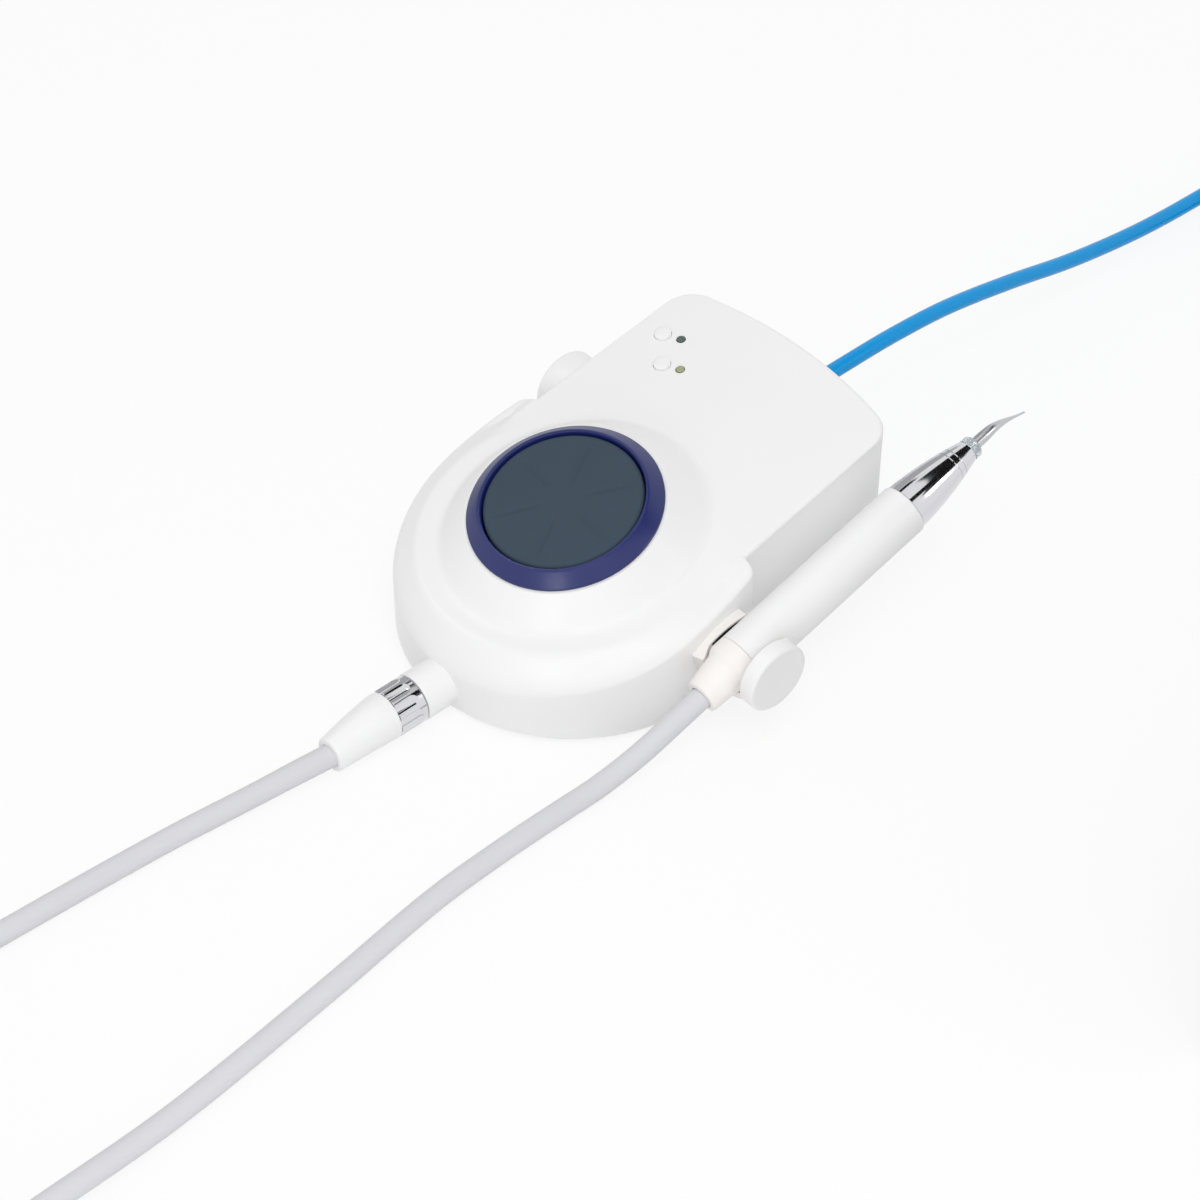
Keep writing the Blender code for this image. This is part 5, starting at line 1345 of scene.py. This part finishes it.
    def build_holder(self) -> list[Piece]:
        """Holder pegged into the housing's flank, and a thin black liner in its gap round the handpiece,
        which paints the slit's shade.

        Returns:
            Cutting tools for its pegs' holes in the shell.
        """
        web_in = self.housing.step_half - self.housing.wall - self.x
        web_out = -self.radius - RUNNING - self.holder_wall / 2
        rings = []
        for share in np.linspace(0, 1, 17):
            high, low = -self.inner_rise(share), 0.006
            along = self.holder_start + (self.holder_end - self.holder_start) * share
            corners = ((web_in, high), (web_out, high), (web_out, low), (web_in, low))
            rings.append(np.array([(x, y, along) for x, y in corners]))
        holder = self.trough("holder_cradle", RUNNING, 0.0, 0.0, (0.0, 1.0))
        Bench.combine(holder, Bench.lofted("web", rings, capped=True), "UNION")
        Bench.placed(holder, self.place)
        Bench.combine(holder, Bench.drawn("flank", self.housing.outline(-FIT / 2), -0.05, 0.11), "DIFFERENCE")
        # Thin black sheet in the clearance round the handpiece: painted shade that makes the slit between jaw
        # and tail dark.
        shade_liner = self.trough("slit_shade_liner", 0.00015, RUNNING - 0.00004, 0.0005, (0.3, 0.92))
        Bench.placed(shade_liner, self.place)
        stud = tilted(CLAMP_PLACE, about_y=pi / 2)
        for piece in (holder, shade_liner):
            Bench.combine(piece, rod("stud_hole", STUD_BORE, -0.0044, 0.0022, stud), "DIFFERENCE")
        Bench.rounded(holder, 0.0010, 4, 40)
        hand_over(shade_liner, Body.BASE, Slot.RUBBER, angle=35)
        holes = []
        for side in (-1, 1):
            along = (self.holder_start + self.holder_end) / 2 + side * 0.0075
            y, z = along * cos(self.slope), self.z + along * sin(self.slope)
            inner, outer = self.housing.step_half - self.housing.wall - 0.003, self.x + web_out
            axis = tilted((0, y, z), about_y=pi / 2)
            Bench.combine(holder, rod("peg", 0.0020, inner, outer, axis), "UNION")
            holes.append(rod("peg_hole", 0.0023, inner - 0.0025, outer, axis))
        hand_over(holder, Body.BASE, Slot.CREAM, "handpiece_holder", angle=35)
        return holes


@dataclass
class Connector:
    """Collar, fluted coupling ring and strain relief at the front."""

    housing: Housing
    x: float = 0.0017
    z: float = 0.0097
    collar_radius: float = 0.00905
    collar_length: float = 0.0114
    ring_radius: float = 0.0089
    ring_length: float = 0.0113
    relief_radius: float = 0.00875
    relief_end_radius: float = 0.00645
    relief_length: float = 0.0248
    relief_shank: float = 0.0031
    relief_sag: float = 0.0026
    flutes: int = 10
    flute_turn: float = 0.18
    flute_width: float = 0.0050
    flute_depth: float = 0.0009

    @property
    def place(self) -> Matrix:
        """Frame whose Z runs outwards along the connector."""
        return tilted((self.x, self.housing.front_centre - self.housing.front_radius, self.z), pi / 2)

    @property
    def relief_end(self) -> float:
        """Height of the strain relief's end."""
        return self.collar_length + self.ring_length + self.relief_length + 2 * FIT

    def holes(self) -> list[Piece]:
        """Cutting tool for the socket."""
        return [rod("socket_hole", 0.0043, -0.010, 0.005, self.place, 64)]

    def build(self) -> None:
        """Collar, ring and relief."""
        r, bore, end = self.collar_radius, self.collar_radius - 0.0012, self.collar_length
        root = -0.0025
        profile = [(bore, root), (r, root), (r, end - 0.0005), (r - 0.0002, end - 0.0001)]
        profile += [(r - 0.0005, end), (bore, end), (bore, root)]
        collar = Bench.placed(Bench.spun("front_collar", profile, 80), self.place)
        Bench.combine(collar, Bench.drawn("seat", self.housing.outline(-FIT / 2), -0.05, 0.11), "DIFFERENCE")
        hand_over(collar, Body.BASE, Slot.WHITE, "socket_collar", angle=35)
        self.build_ring()
        self.build_relief()

    def build_ring(self) -> None:
        """Bright coupling ring with arched flutes that run out towards the cord."""
        low, r, bore = self.collar_length + FIT, self.ring_radius, self.ring_radius - 0.0016
        high = low + self.ring_length
        profile = [(bore, low), (r - 0.0003, low), (r, low + 0.0003), (r, high - 0.0003), (r - 0.0003, high)]
        profile += [(bore, high), (bore, low)]
        ring = Bench.spun("coupling_sleeve", profile, 144)
        width = self.flute_width
        arch = [(width * sin(b), low + width * (1 - cos(b))) for b in np.linspace(0, pi / 2, 13)]
        tool = Bench.spun("flute", [*arch, (width, high + 0.002), (0, high + 0.002)], 64)
        Bench.placed(tool, Matrix.Translation((r + width - self.flute_depth, 0, 0)))
        Bench.cut_round(ring, tool, self.flutes, self.flute_turn)
        hand_over(Bench.placed(ring, self.place), Body.COUPLING, Slot.CHROME, "coupling_ring", angle=30)

    def build_relief(self) -> None:
        """Tapered strain relief with a rounded end and a bore for the plug."""
        low = self.collar_length + self.ring_length + 2 * FIT - 0.0002
        high, r, tip = self.relief_end, self.relief_radius, self.relief_end_radius
        start = low + self.relief_shank
        bore, seat = 0.0076, low + 0.0028
        profile = [(0, seat), (bore, seat), (bore, low), (r - 0.0004, low), (r, low + 0.0004)]
        for share in np.linspace(0, 1, 9):
            width = r + (tip - r) * max(share - 0.03 * sin(pi * share), 0.0)
            profile.append((width, start + (high - 0.0008 - start) * share))
        profile += round_edge(tip, high, 0.0008)
        profile += [(0.0043, high), (0.0043, high - 0.002), (0, high - 0.002)]
        relief = Bench.leaned(Bench.spun("cord_relief", profile, 80), start, high, -self.relief_sag)
        hand_over(Bench.placed(relief, self.place), Body.BASE, Slot.WHITE, "strain_relief", angle=40)


class Route:
    """Lines that cords follow, as points in the row frame."""

    gap: float = 0.0008
    loop_points: int = 24
    tie_thickness: float = 0.0010

    @staticmethod
    def smooth(points: Sequence[Point], spacing: float) -> list[Vector]:
        """Even points on the smooth curve through a route, whose first and last runs stay straight.

        Args:
            points: chosen points.
            spacing: distance between the points that it gives.

        Returns:
            The points.
        """
        knots = [Vector(p) for p in points]
        fine = []
        for before, start, stop, after in zip(knots, knots[1:], knots[2:], knots[3:]):
            reach = (stop - start).length
            slope_in = (stop - before).normalized() * reach
            slope_out = (after - start).normalized() * reach
            for share in (n / 24 for n in range(24)):
                rest = 1 - share
                fine.append(
                    start * (rest * rest * (1 + 2 * share))
                    + slope_in * (share * rest * rest)
                    + stop * (share * share * (3 - 2 * share))
                    - slope_out * (share * share * rest)
                )
        fine.append(knots[-2])
        kept, travelled = [knots[0], fine[0]], 0.0
        for a, b in zip(fine, fine[1:]):
            travelled += (b - a).length
            if travelled >= spacing:
                kept.append(b)
                travelled = 0.0
        if (kept[-1] - fine[-1]).length < spacing / 2:
            kept.pop()
        return [*kept, fine[-1], knots[-1]]

    @classmethod
    def stretch(
        cls, points: Sequence[Point], first: tuple[Point, Point], last: tuple[Point, Point], radius: float
    ) -> list[Vector]:
        """Route between two straight ends.

        Args:
            points: points chosen between the ends.
            first: where it starts, and its direction there.
            last: where it stops, and its direction there.
            radius: radius of the cord.

        Returns:
            The route's points.
        """
        start, leaves = Vector(first[0]), Vector(first[1]).normalized()
        stop, enters = Vector(last[0]), Vector(last[1]).normalized()
        chosen = [start, start + leaves * 3 * radius, *points, stop - enters * 3 * radius, stop]
        return cls.smooth(chosen, 1.5 * radius)

    @classmethod
    def coil(cls, centre: Point, outer: float, turns: float, radius: float, side: int) -> list[Vector]:
        """Loops that spiral in on the floor, climb where they reverse, and spiral out on top.

        Args:
            centre: middle of the coil on the floor.
            outer: radius of its outermost loop.
            turns: loops on the floor.
            radius: radius of the cord.
            side: 1 or -1, the side that it starts from.

        Returns:
            The loops' points.
        """
        low, pitch = radius + cls.tie_thickness + 3 * FIT, 2 * radius + cls.gap
        total = 2 * turns + 0.5
        count = round(total * cls.loop_points * 2)
        route = []
        for n in range(count + 1):
            gone = total * n / count
            back = gone - turns
            if back <= 0:
                reach = outer - pitch * gone
            elif back <= 0.5:
                reach = outer - pitch * turns - pitch * back + 2 * pitch * back * back
            else:
                reach = outer - pitch * turns + pitch * (back - 0.5)
            turn = pi + 2 * pi * gone
            spot = Vector((reach * cos(turn), reach * sin(turn), 0)) * side
            route.append(Vector((*centre, low + pitch * float(ease(0, 0.5, back)))) + spot)
        lead = Vector((0, 2 * radius * side, 0))
        return [route[0] + lead, *route, route[-1] + lead]

    @staticmethod
    def heading(yaw: float, dip: float) -> Vector:
        """Unit direction towards +Y, turned by the yaw towards +X and raised by the dip."""
        return Vector((sin(yaw) * cos(dip), cos(yaw) * cos(dip), sin(dip)))

    @staticmethod
    def length(points: Sequence[Vector]) -> float:
        """Length of a route."""
        return sum((b - a).length for a, b in zip(points, points[1:]))


@dataclass
class Cords:
    """Handpiece cord, water hose, and what is on them."""

    housing: Housing
    handpiece: Handpiece
    connector: Connector
    cord_radius: float = 0.0040
    cord_centre: tuple[float, float] = (0.0400, -0.3500)
    cord_outer: float = 0.0526
    cord_turns: float = 2
    hose_radius: float = 0.0030
    hose_centre: tuple[float, float] = (0.0420, 0.3780)
    hose_outer: float = 0.0412
    hose_turns: float = 2.5
    sides: int = 7
    strap_half: float = 0.0040
    strap_bend: float = 0.6

    def tube(
        self, name: str, points: Sequence[Vector], radius: float, flare: Callable[[float], float]
    ) -> Piece:
        """Round mesh tube along a route.

        Args:
            name: the piece's name.
            points: the route.
            radius: radius of the tube.
            flare: factor on the radius at a distance from the start.

        Returns:
            The tube.
        """
        line = bpy.data.curves.new(name, "CURVE")
        line.dimensions = "3D"
        line.bevel_depth = radius
        line.bevel_resolution = self.sides
        line.use_fill_caps = True
        spline = line.splines.new("POLY")
        spline.points.add(len(points) - 1)
        gone = 0.0
        for n, (knot, place) in enumerate(zip(spline.points, points)):
            gone += (place - points[n - 1]).length if n else 0.0
            knot.co = (*place, 1.0)
            knot.radius = flare(gone)
        spline.use_smooth = True
        piece = bpy.data.objects.new(name, line)
        bpy.context.scene.collection.objects.link(piece)
        Bench.take(piece)
        bpy.ops.object.convert(target="MESH")
        return Bench.named(name)

    def tie(
        self, name: str, centre: Point, outer: float, turns: float, radius: float, side: int, node: str
    ) -> Piece:
        """Flat strap closed round all the loops of a coil.

        Args:
            name: the piece's name.
            centre: middle of the coil on the floor.
            outer: radius of its outermost loop.
            turns: loops on the floor.
            radius: radius of the cord.
            side: 1 or -1, the side that the coil starts from.
            node: CAD node that it stands for.

        Returns:
            The strap.
        """
        pitch = 2 * radius + Route.gap
        low = Route.tie_thickness + 3 * FIT
        high = low + pitch + 2 * radius
        inner = outer - pitch * (turns + 0.25)
        half = (outer - inner) / 2 + radius
        middle = -side * (outer + inner) / 2
        gap, thick, wide = 2 * FIT, Route.tie_thickness, self.strap_half
        bent = radius * self.strap_bend
        rings = []
        for x, edge in ((-wide, gap), (wide, gap), (wide, gap + thick), (-wide, gap + thick)):
            corners = []
            for dy, dz, start in ((1, 1, 0), (-1, 1, 1), (-1, -1, 2), (1, -1, 3)):
                for bend in np.linspace(start * pi / 2, (start + 1) * pi / 2, 7):
                    y = dy * (half - bent) + (bent + edge) * cos(bend)
                    z = (high - bent if dz > 0 else low + bent) + (bent + edge) * sin(bend)
                    corners.append((centre[0] + x, centre[1] + middle + y, z))
            rings.append(np.array(corners))
        strap = Bench.lofted(name, rings)
        Bench.rounded(strap, 0.00025, 2, 50)
        return hand_over(strap, Body.BASE, Slot.TIE, node)

    @staticmethod
    def declare(cord: Piece, points: Sequence[Vector], radius: float, far_end: str, *on_it: Piece) -> None:
        """Logs the length of a cord's route.

        Args:
            cord: the piece.
            points: its route, from where it leaves the object.
            radius: its radius; not used.
            far_end: what its far end is; not used.
            on_it: pieces that it carries; not used.
        """
        length = Route.length(points)
        log.info("%s is %.3f m long", cord.name, length)

    def build_cord(self) -> None:
        """One cord from the strain relief through its coil to the handpiece's tail."""
        r = self.cord_radius
        loops = Route.coil(self.cord_centre, self.cord_outer, self.cord_turns, r, 1)
        out = -Route.heading(radians(9), radians(4))
        face = self.connector.place @ Vector((0, -self.connector.relief_sag, self.connector.relief_end))
        leaves = face + out * (FIT + r * sin(out.angle(Vector((0, -1, 0)))))
        front = [
            (-0.0031, -0.1400, 0.0049),
            (-0.0066, -0.1700, 0.0043),
            (-0.0096, -0.2200, 0.0043),
            (-0.0117, -0.2800, 0.0047),
        ]
        start = Route.stretch(front, (leaves, out), (loops[0] + Vector((0, FIT, 0)), (0, -1, 0)), r)
        enters = Route.heading(radians(5), radians(24))
        tail = self.handpiece.place @ Vector((0, self.handpiece.tail_sag, self.handpiece.tail_start))
        tail -= enters * (FIT + r * sin(enters.angle(Route.heading(0.0, self.handpiece.slope))))
        rear = [
            (0.0895, -0.2850, 0.0105),
            (0.0855, -0.2350, 0.0056),
            (0.0780, -0.1700, 0.0043),
            (0.0718, -0.1200, 0.0043),
            (0.0706, -0.0880, 0.0043),
            (0.0707, -0.0634, 0.0043),
            (0.0713, -0.0494, 0.0049),
            (0.0723, -0.0360, 0.0079),
            (0.0736, -0.0273, 0.0119),
        ]
        finish = Route.stretch(rear, (loops[-1] + Vector((0, FIT, 0)), (0, 1, 0)), (tail, enters), r)
        points = [start[0] - out * 0.0024, *start, *loops[1:-1], *finish, finish[-1] + enters * 0.0018]

        def flare(gone: float) -> float:
            """Slight swelling of the cord where it leaves the strain relief."""
            return 1 + 0.05 * (1 - float(ease(0.004, 0.030, gone)))

        cord = self.tube("handpiece_cord", points, r, flare)
        strap = self.tie("cord_strap", self.cord_centre, self.cord_outer, self.cord_turns, r, 1, "cord_tie")
        cord.data.materials.clear()
        cord.data.materials.append(FINISHES[Slot.CORD].material())
        Bench.smooth(cord, 60)
        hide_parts("cord_front", "cord_coil", "cord_rear")
        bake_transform(cord)
        self.declare(cord, points, r, "object", strap)

    def build_hose(self) -> None:
        """Water hose from its inlet through its coil to the end fitting."""
        r = self.hose_radius
        loops = Route.coil(self.hose_centre, self.hose_outer, self.hose_turns, r, -1)
        leaves = Vector((0, self.housing.rear_y + self.housing.inlet_end + FIT, self.housing.hose_z))
        run = [
            (0.0000, 0.1600, 0.0396),
            (0.0000, 0.1900, 0.0370),
            (0.0000, 0.2250, 0.0300),
            (0.0002, 0.2650, 0.0205),
            (0.0004, 0.3100, 0.0138),
        ]
        meets = loops[-1] - Vector((0, FIT, 0))
        start = Route.stretch(run, (leaves, (0, 1, 0)), (meets, (0, 1, 0)), r)
        points = [*start, *reversed(loops[:-1])]
        hose = self.tube("water_hose", points, r, lambda gone: 1.0)
        hand_over(hose, Body.BASE, Slot.HOSE, "hose_run", "hose_coil", angle=60)
        strap = self.tie("hose_strap", self.hose_centre, self.hose_outer, self.hose_turns, r, -1, "hose_tie")
        fitting = self.build_fitting(loops[0], (loops[0] - loops[1]).normalized())
        self.declare(hose, points, r, "fitting", strap, fitting)

    def build_fitting(self, end: Vector, away: Vector) -> Piece:
        """Knurled quick fitting on the hose's far end.

        Args:
            end: where the hose ends.
            away: direction away from the hose.

        Returns:
            The fitting.
        """
        length, r = 0.0260, self.hose_radius
        grip, bore = 0.0044, 0.0014
        body = [(0, 0), (0.0041, 0), (grip, 0.0003), (grip, 0.0111), (0.0041, 0.0114), (r - 0.0003, 0.0118)]
        barbs = []
        for share in (0.50, 0.62, 0.74, 0.86):
            foot, crest, back = (length * (share + step) for step in (0.0, 0.02, 0.09))
            barbs += [(r - 0.0005, foot), (r, crest), (r - 0.0004, back)]
        mouth = [(r - 0.0008, length), (bore, length), (bore, length - 0.006), (0, length - 0.006)]
        fitting = Bench.spun("hose_quick_fitting", [*body, *barbs, *mouth], 48)
        tool = Bench.block("knurl", (-0.0003, -0.0003, 0.0014), (0.0003, 0.0003, 0.0100))
        Bench.cut_round(fitting, Bench.placed(tool, Matrix.Translation((grip, 0, 0))), 16)
        turn = away.to_track_quat("Z", "Y").to_matrix().to_4x4()
        Bench.placed(fitting, Matrix.Translation(end + away * FIT) @ turn)
        return hand_over(fitting, Body.BASE, Slot.BRASS, "hose_fitting", angle=30)


@dataclass
class RearFittings:
    """Water inlet and power inlet in the rear wall."""

    housing: Housing
    jack_x: float = -0.0300
    jack_z: float = 0.0220

    @property
    def water_frame(self) -> Matrix:
        """Frame of the water inlet, pointing to the rear."""
        return tilted((0, self.housing.rear_y, self.housing.hose_z), -pi / 2)

    @property
    def jack_frame(self) -> Matrix:
        """Frame of the power inlet.

        Returns:
            The frame, whose Z is square to the bulged wall.
        """
        lean = asin(self.jack_x / self.housing.rear_radius)
        y = self.housing.rear_y - self.housing.rear_radius * (1 - cos(lean))
        return tilted((self.jack_x, y, self.jack_z), -pi / 2, about_z=-lean)

    def holes(self) -> list[Piece]:
        """Cutting tools for both openings."""
        return [
            rod("inlet_hole", 0.0041, -0.0075, 0.005, self.water_frame),
            rod("jack_hole", 0.0058, -0.0075, 0.005, self.jack_frame, 48),
        ]

    def build(self) -> None:
        """Hexagon nut with its collar, and the round jack with its centre pin."""
        stem, flats, end = 0.0038, 0.0065, self.housing.inlet_end
        low, high = 2 * FIT, 2 * FIT + 0.004
        hexagon = [(stem, low), (flats, low), (flats, high), (stem, high), (stem, low)]
        nut = Bench.spun("inlet_union", hexagon, 6)
        outer, waist, neck = 0.0052, 0.0049, 0.0042
        collar = [(0, end), (0.0034, end), (waist, end), (outer, 0.0123), (outer, 0.0100), (waist, 0.0098)]
        collar += [(waist, 0.0092), (outer, 0.0090), (outer, 0.0043), (neck, 0.0043), (neck, 0.0020)]
        collar += [(stem, 0.0020), (stem, -0.010), (0, -0.010)]
        Bench.combine(nut, Bench.spun("collar", collar, 48), "UNION")
        Bench.rounded(nut, 0.00025, 2, 40)
        hand_over(Bench.placed(nut, self.water_frame), Body.BASE, Slot.BRASS, "water_inlet", angle=30)
        face, floor, broken = 0.0018, 0.0018 - 0.009, 0.0018 - 0.0004
        pin = [(0, face - 0.0006), (0.0007, face - 0.0006), (0.0010, face - 0.0010), (0.0010, floor)]
        rim = [(0.0032, floor), (0.0032, broken), (0.0036, face), (0.0066, face), (0.0070, broken)]
        barrel = [(0.0070, FIT), (0.0055, FIT), (0.0055, -0.013), (0, -0.013)]
        jack = Bench.spun("power_jack", [*pin, *rim, *barrel], 48)
        hand_over(Bench.placed(jack, self.jack_frame), Body.BASE, Slot.BLACK, "power_inlet")


@dataclass
class InnerWorks:
    """CAD nodes that keep their shape and only get their finish."""

    finishes: dict[str, Slot] = field(
        default_factory=lambda: {
            "base_plate": Slot.GREY,
            "pedal_carrier": Slot.BLACK,
            "pedal_tower": Slot.BLACK,
            "foot_switch": Slot.BLACK,
            "power_key_switch": Slot.BLACK,
            "turbo_key_switch": Slot.BLACK,
            "button_board": Slot.BOARD,
            "power_shaft": Slot.STEEL,
            "power_dial_pot": Slot.STEEL,
            "clamp_stud": Slot.STEEL,
            "ultrasonic_converter": Slot.STEEL,
            "front_socket": Slot.BLACK,
            "plug_insert": Slot.BLACK,
            "valve_body": Slot.BRASS,
            "valve_coil": Slot.BLACK,
            "inlet_tube": Slot.CLEAR,
            "outlet_tube": Slot.CLEAR,
            "main_board": Slot.BOARD,
            "transformer": Slot.TAPE,
            "heat_sink": Slot.ALUMINIUM,
        }
    )

    def dress(self) -> None:
        """Gives each node its finish."""
        for name, slot in self.finishes.items():
            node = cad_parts[name]
            if not node.material_slots:
                node.data.materials.append(None)
            for holder in node.material_slots:
                holder.material = FINISHES[slot].material()
            log.info("%s keeps its shape in %s", name, slot.value)


@dataclass
class Stage:
    """Floor, light and camera.

    Each of the flags is given by its turn in degrees, its width, its place along Y, its length and its shade.
    """

    back: tuple[float, float, float] = (0.52747, -0.47146, 0.70675)
    right: tuple[float, float, float] = (0.66641, 0.74559, 0.0)
    up: tuple[float, float, float] = (-0.52695, 0.47098, 0.70746)
    distance: float = 1.13903
    aside: float = -0.01187
    rise: float = -0.00581
    lens: float = 96.0
    key_direction: tuple[float, float, float] = (0.42, -0.25, 0.87)
    key_distance: float = 1.3
    key_size: float = 0.70
    key_power: float = 5.9
    fill_direction: tuple[float, float, float] = (0.50, -0.85, 0.12)
    fill_power: float = 1.2
    ambient: float = 0.71
    glints: tuple[tuple[float, float, float], ...] = (
        (-0.53, -0.18, 0.83),
        (0.29, -0.80, 0.53),
        (0.69, 0.47, 0.56),
    )
    glint_size: float = 0.22
    glint_power: float = 1.1
    flags: tuple[tuple[float, float, float, float, float], ...] = (
        (80.0, 1.40, 0.76, 0.56, 0.01),
        (66.0, 0.30, 0.12, 0.74, 0.01),
        (127.0, 0.28, 0.12, 0.74, 0.01),
        (160.0, 1.05, 0.30, 1.30, 0.50),
    )
    flag_height: float = 1.2
    card_place: tuple[float, float, float] = (0.28, 0.24, 0.07)
    card_size: tuple[float, float] = (0.14, 0.44)
    card_shade: float = 0.01
    floor_glow: float = 0.84

    def build(self) -> None:
        """Everything that isn't part of the object."""
        bpy.context.scene.view_settings.view_transform = "Standard"
        self.build_camera()
        self.build_floor()
        self.build_world()
        self.build_lamps()

    def build_camera(self) -> None:
        """Camera at the photograph's viewing angle."""
        back, right, up = (Vector(v) for v in (self.back, self.right, self.up))
        data = bpy.data.cameras.new("camera")
        data.lens = self.lens
        data.sensor_width = 36.0
        data.sensor_fit = "HORIZONTAL"
        data.clip_end = 20.0
        camera = bpy.data.objects.new("camera", data)
        turn = Matrix((right, up, back)).transposed().to_4x4()
        eye = back * self.distance - right * self.aside - up * self.rise
        camera.matrix_world = Matrix.Translation(eye) @ turn
        bpy.context.scene.collection.objects.link(camera)
        bpy.context.scene.camera = camera

    @staticmethod
    def seen(tree: Tree) -> Socket:
        """Tells the rays that show the background from those that only light the object.

        Args:
            tree: the node tree.

        Returns:
            A socket that is 1 for camera, glossy and transmission rays.
        """
        rays = tree.nodes.new("ShaderNodeLightPath").outputs
        total = rays["Is Camera Ray"]
        for name in ("Is Glossy Ray", "Is Transmission Ray"):
            total = wired(tree, "Math", {0: total, 1: rays[name]}, operation="MAXIMUM").outputs[0]
        return total

    def build_floor(self) -> None:
        """Pale floor that shows almost white and keeps a soft shadow."""
        Bench.clear()
        bpy.ops.mesh.primitive_plane_add(size=12.0)
        floor = Bench.named("floor")
        material = bpy.data.materials.new("floor_paper")
        material.use_nodes = True
        tree = material.node_tree
        paper = tree.nodes["Principled BSDF"]
        feed(tree, paper, {"Base Color": (0.90, 0.90, 0.90, 1.0), "Roughness": 0.9})
        white = tree.nodes.new("ShaderNodeEmission")
        share = wired(tree, "Math", {0: self.seen(tree), 1: self.floor_glow}, operation="MULTIPLY")
        mix = wired(tree, "MixShader", {0: share.outputs[0], 1: paper.outputs[0], 2: white.outputs[0]})
        feed(tree, tree.nodes["Material Output"], {"Surface": mix.outputs[0]})
        floor.data.materials.append(material)

    def build_world(self) -> None:
        """White surroundings for what shows them, and a lower plain light on the object."""
        world = bpy.data.worlds.new("surroundings")
        bpy.context.scene.world = world
        world.use_nodes = True
        tree = world.node_tree
        level = wired(tree, "MapRange", {"To Min": self.ambient, "To Max": 1.0, "Value": self.seen(tree)})
        feed(tree, tree.nodes["Background"], {"Color": (1, 1, 1, 1), "Strength": level.outputs["Result"]})

    def build_lamps(self) -> None:
        """Key and fill lights, glints and dark flags that only reflections show, and a shading card."""
        lights = (("key", self.key_direction, self.key_power), ("fill", self.fill_direction, self.fill_power))
        for name, direction, power in lights:
            self.softbox(name, direction, self.key_size, power).visible_glossy = False
        for number, direction in enumerate(self.glints):
            glint = self.softbox(f"glint_{number}", direction, self.glint_size, self.glint_power)
            glint.visible_diffuse = False
        for number, (turn, width, along, length, shade) in enumerate(self.flags):
            lean = Matrix.Rotation(pi / 2 - radians(turn), 4, "Y")
            place = lean @ Matrix.Translation((0, along, self.flag_height))
            unseen_by = ("camera", "diffuse", "transmission", "volume_scatter", "shadow")
            self.build_flag(f"flag_{number}", place, (width, length), shade, unseen_by)
        place = tilted(self.card_place, about_y=pi / 2)
        unseen_by = ("camera", "glossy", "transmission", "volume_scatter")
        self.build_flag("card", place, self.card_size, self.card_shade, unseen_by)

    def softbox(self, name: str, direction: Point, size: float, power: float) -> Piece:
        """Square area light that faces the object.

        Args:
            name: its name.
            direction: where it stands, seen from the object.
            size: side length.
            power: watts.

        Returns:
            The light.
        """
        away = Vector(direction).normalized()
        data = bpy.data.lights.new(name, "AREA")
        data.shape = "SQUARE"
        data.size = size
        data.energy = power
        lamp = bpy.data.objects.new(name, data)
        place = Matrix.Translation(away * self.key_distance + Vector((0, 0.03, 0.03)))
        lamp.matrix_world = place @ away.to_track_quat("Z", "Y").to_matrix().to_4x4()
        bpy.context.scene.collection.objects.link(lamp)
        return lamp

    @staticmethod
    def build_flag(name: str, place: Matrix, size: Point, shade: float, unseen_by: Sequence[str]) -> None:
        """Dark card beside the set.

        Args:
            name: its name.
            place: frame of its middle.
            size: width and length.
            shade: how light it is.
            unseen_by: kinds of rays that pass it.
        """
        Bench.clear()
        bpy.ops.mesh.primitive_plane_add(size=1.0)
        flag = Bench.placed(Bench.named(name), place @ Matrix.Diagonal((*size, 1.0, 1.0)))
        cloth = bpy.data.materials.new(f"{name}_cloth")
        cloth.use_nodes = True
        tree = cloth.node_tree
        dim = wired(tree, "Emission", {"Color": (shade, shade, shade, 1.0)})
        feed(tree, tree.nodes["Material Output"], {"Surface": dim.outputs[0]})
        flag.data.materials.append(cloth)
        for rays in unseen_by:
            setattr(flag, f"visible_{rays}", False)


def main() -> None:
    """Builds the scene in order."""
    logging.basicConfig(level=logging.INFO, format="%(name)s: %(message)s")
    Stage().build()
    housing = Housing()
    handpiece = Handpiece(housing)
    connector = Connector(housing)
    cords = Cords(housing, handpiece, connector)
    cords.build_cord()
    cords.build_hose()
    controls, knobs, rear = DeckControls(housing), Knobs(housing), RearFittings(housing)
    holes = [*handpiece.build_holder(), *controls.holes(), *knobs.holes(), *connector.holes(), *rear.holes()]
    housing.build_shell(holes)
    housing.build_base()
    pedal = Pedal(housing)
    pedal.build_bezel()
    pedal.build_pad()
    pedal.build_spring()
    controls.build()
    knobs.build()
    handpiece.build()
    connector.build()
    rear.build()
    InnerWorks().dress()


if __name__ == "__main__":
    main()
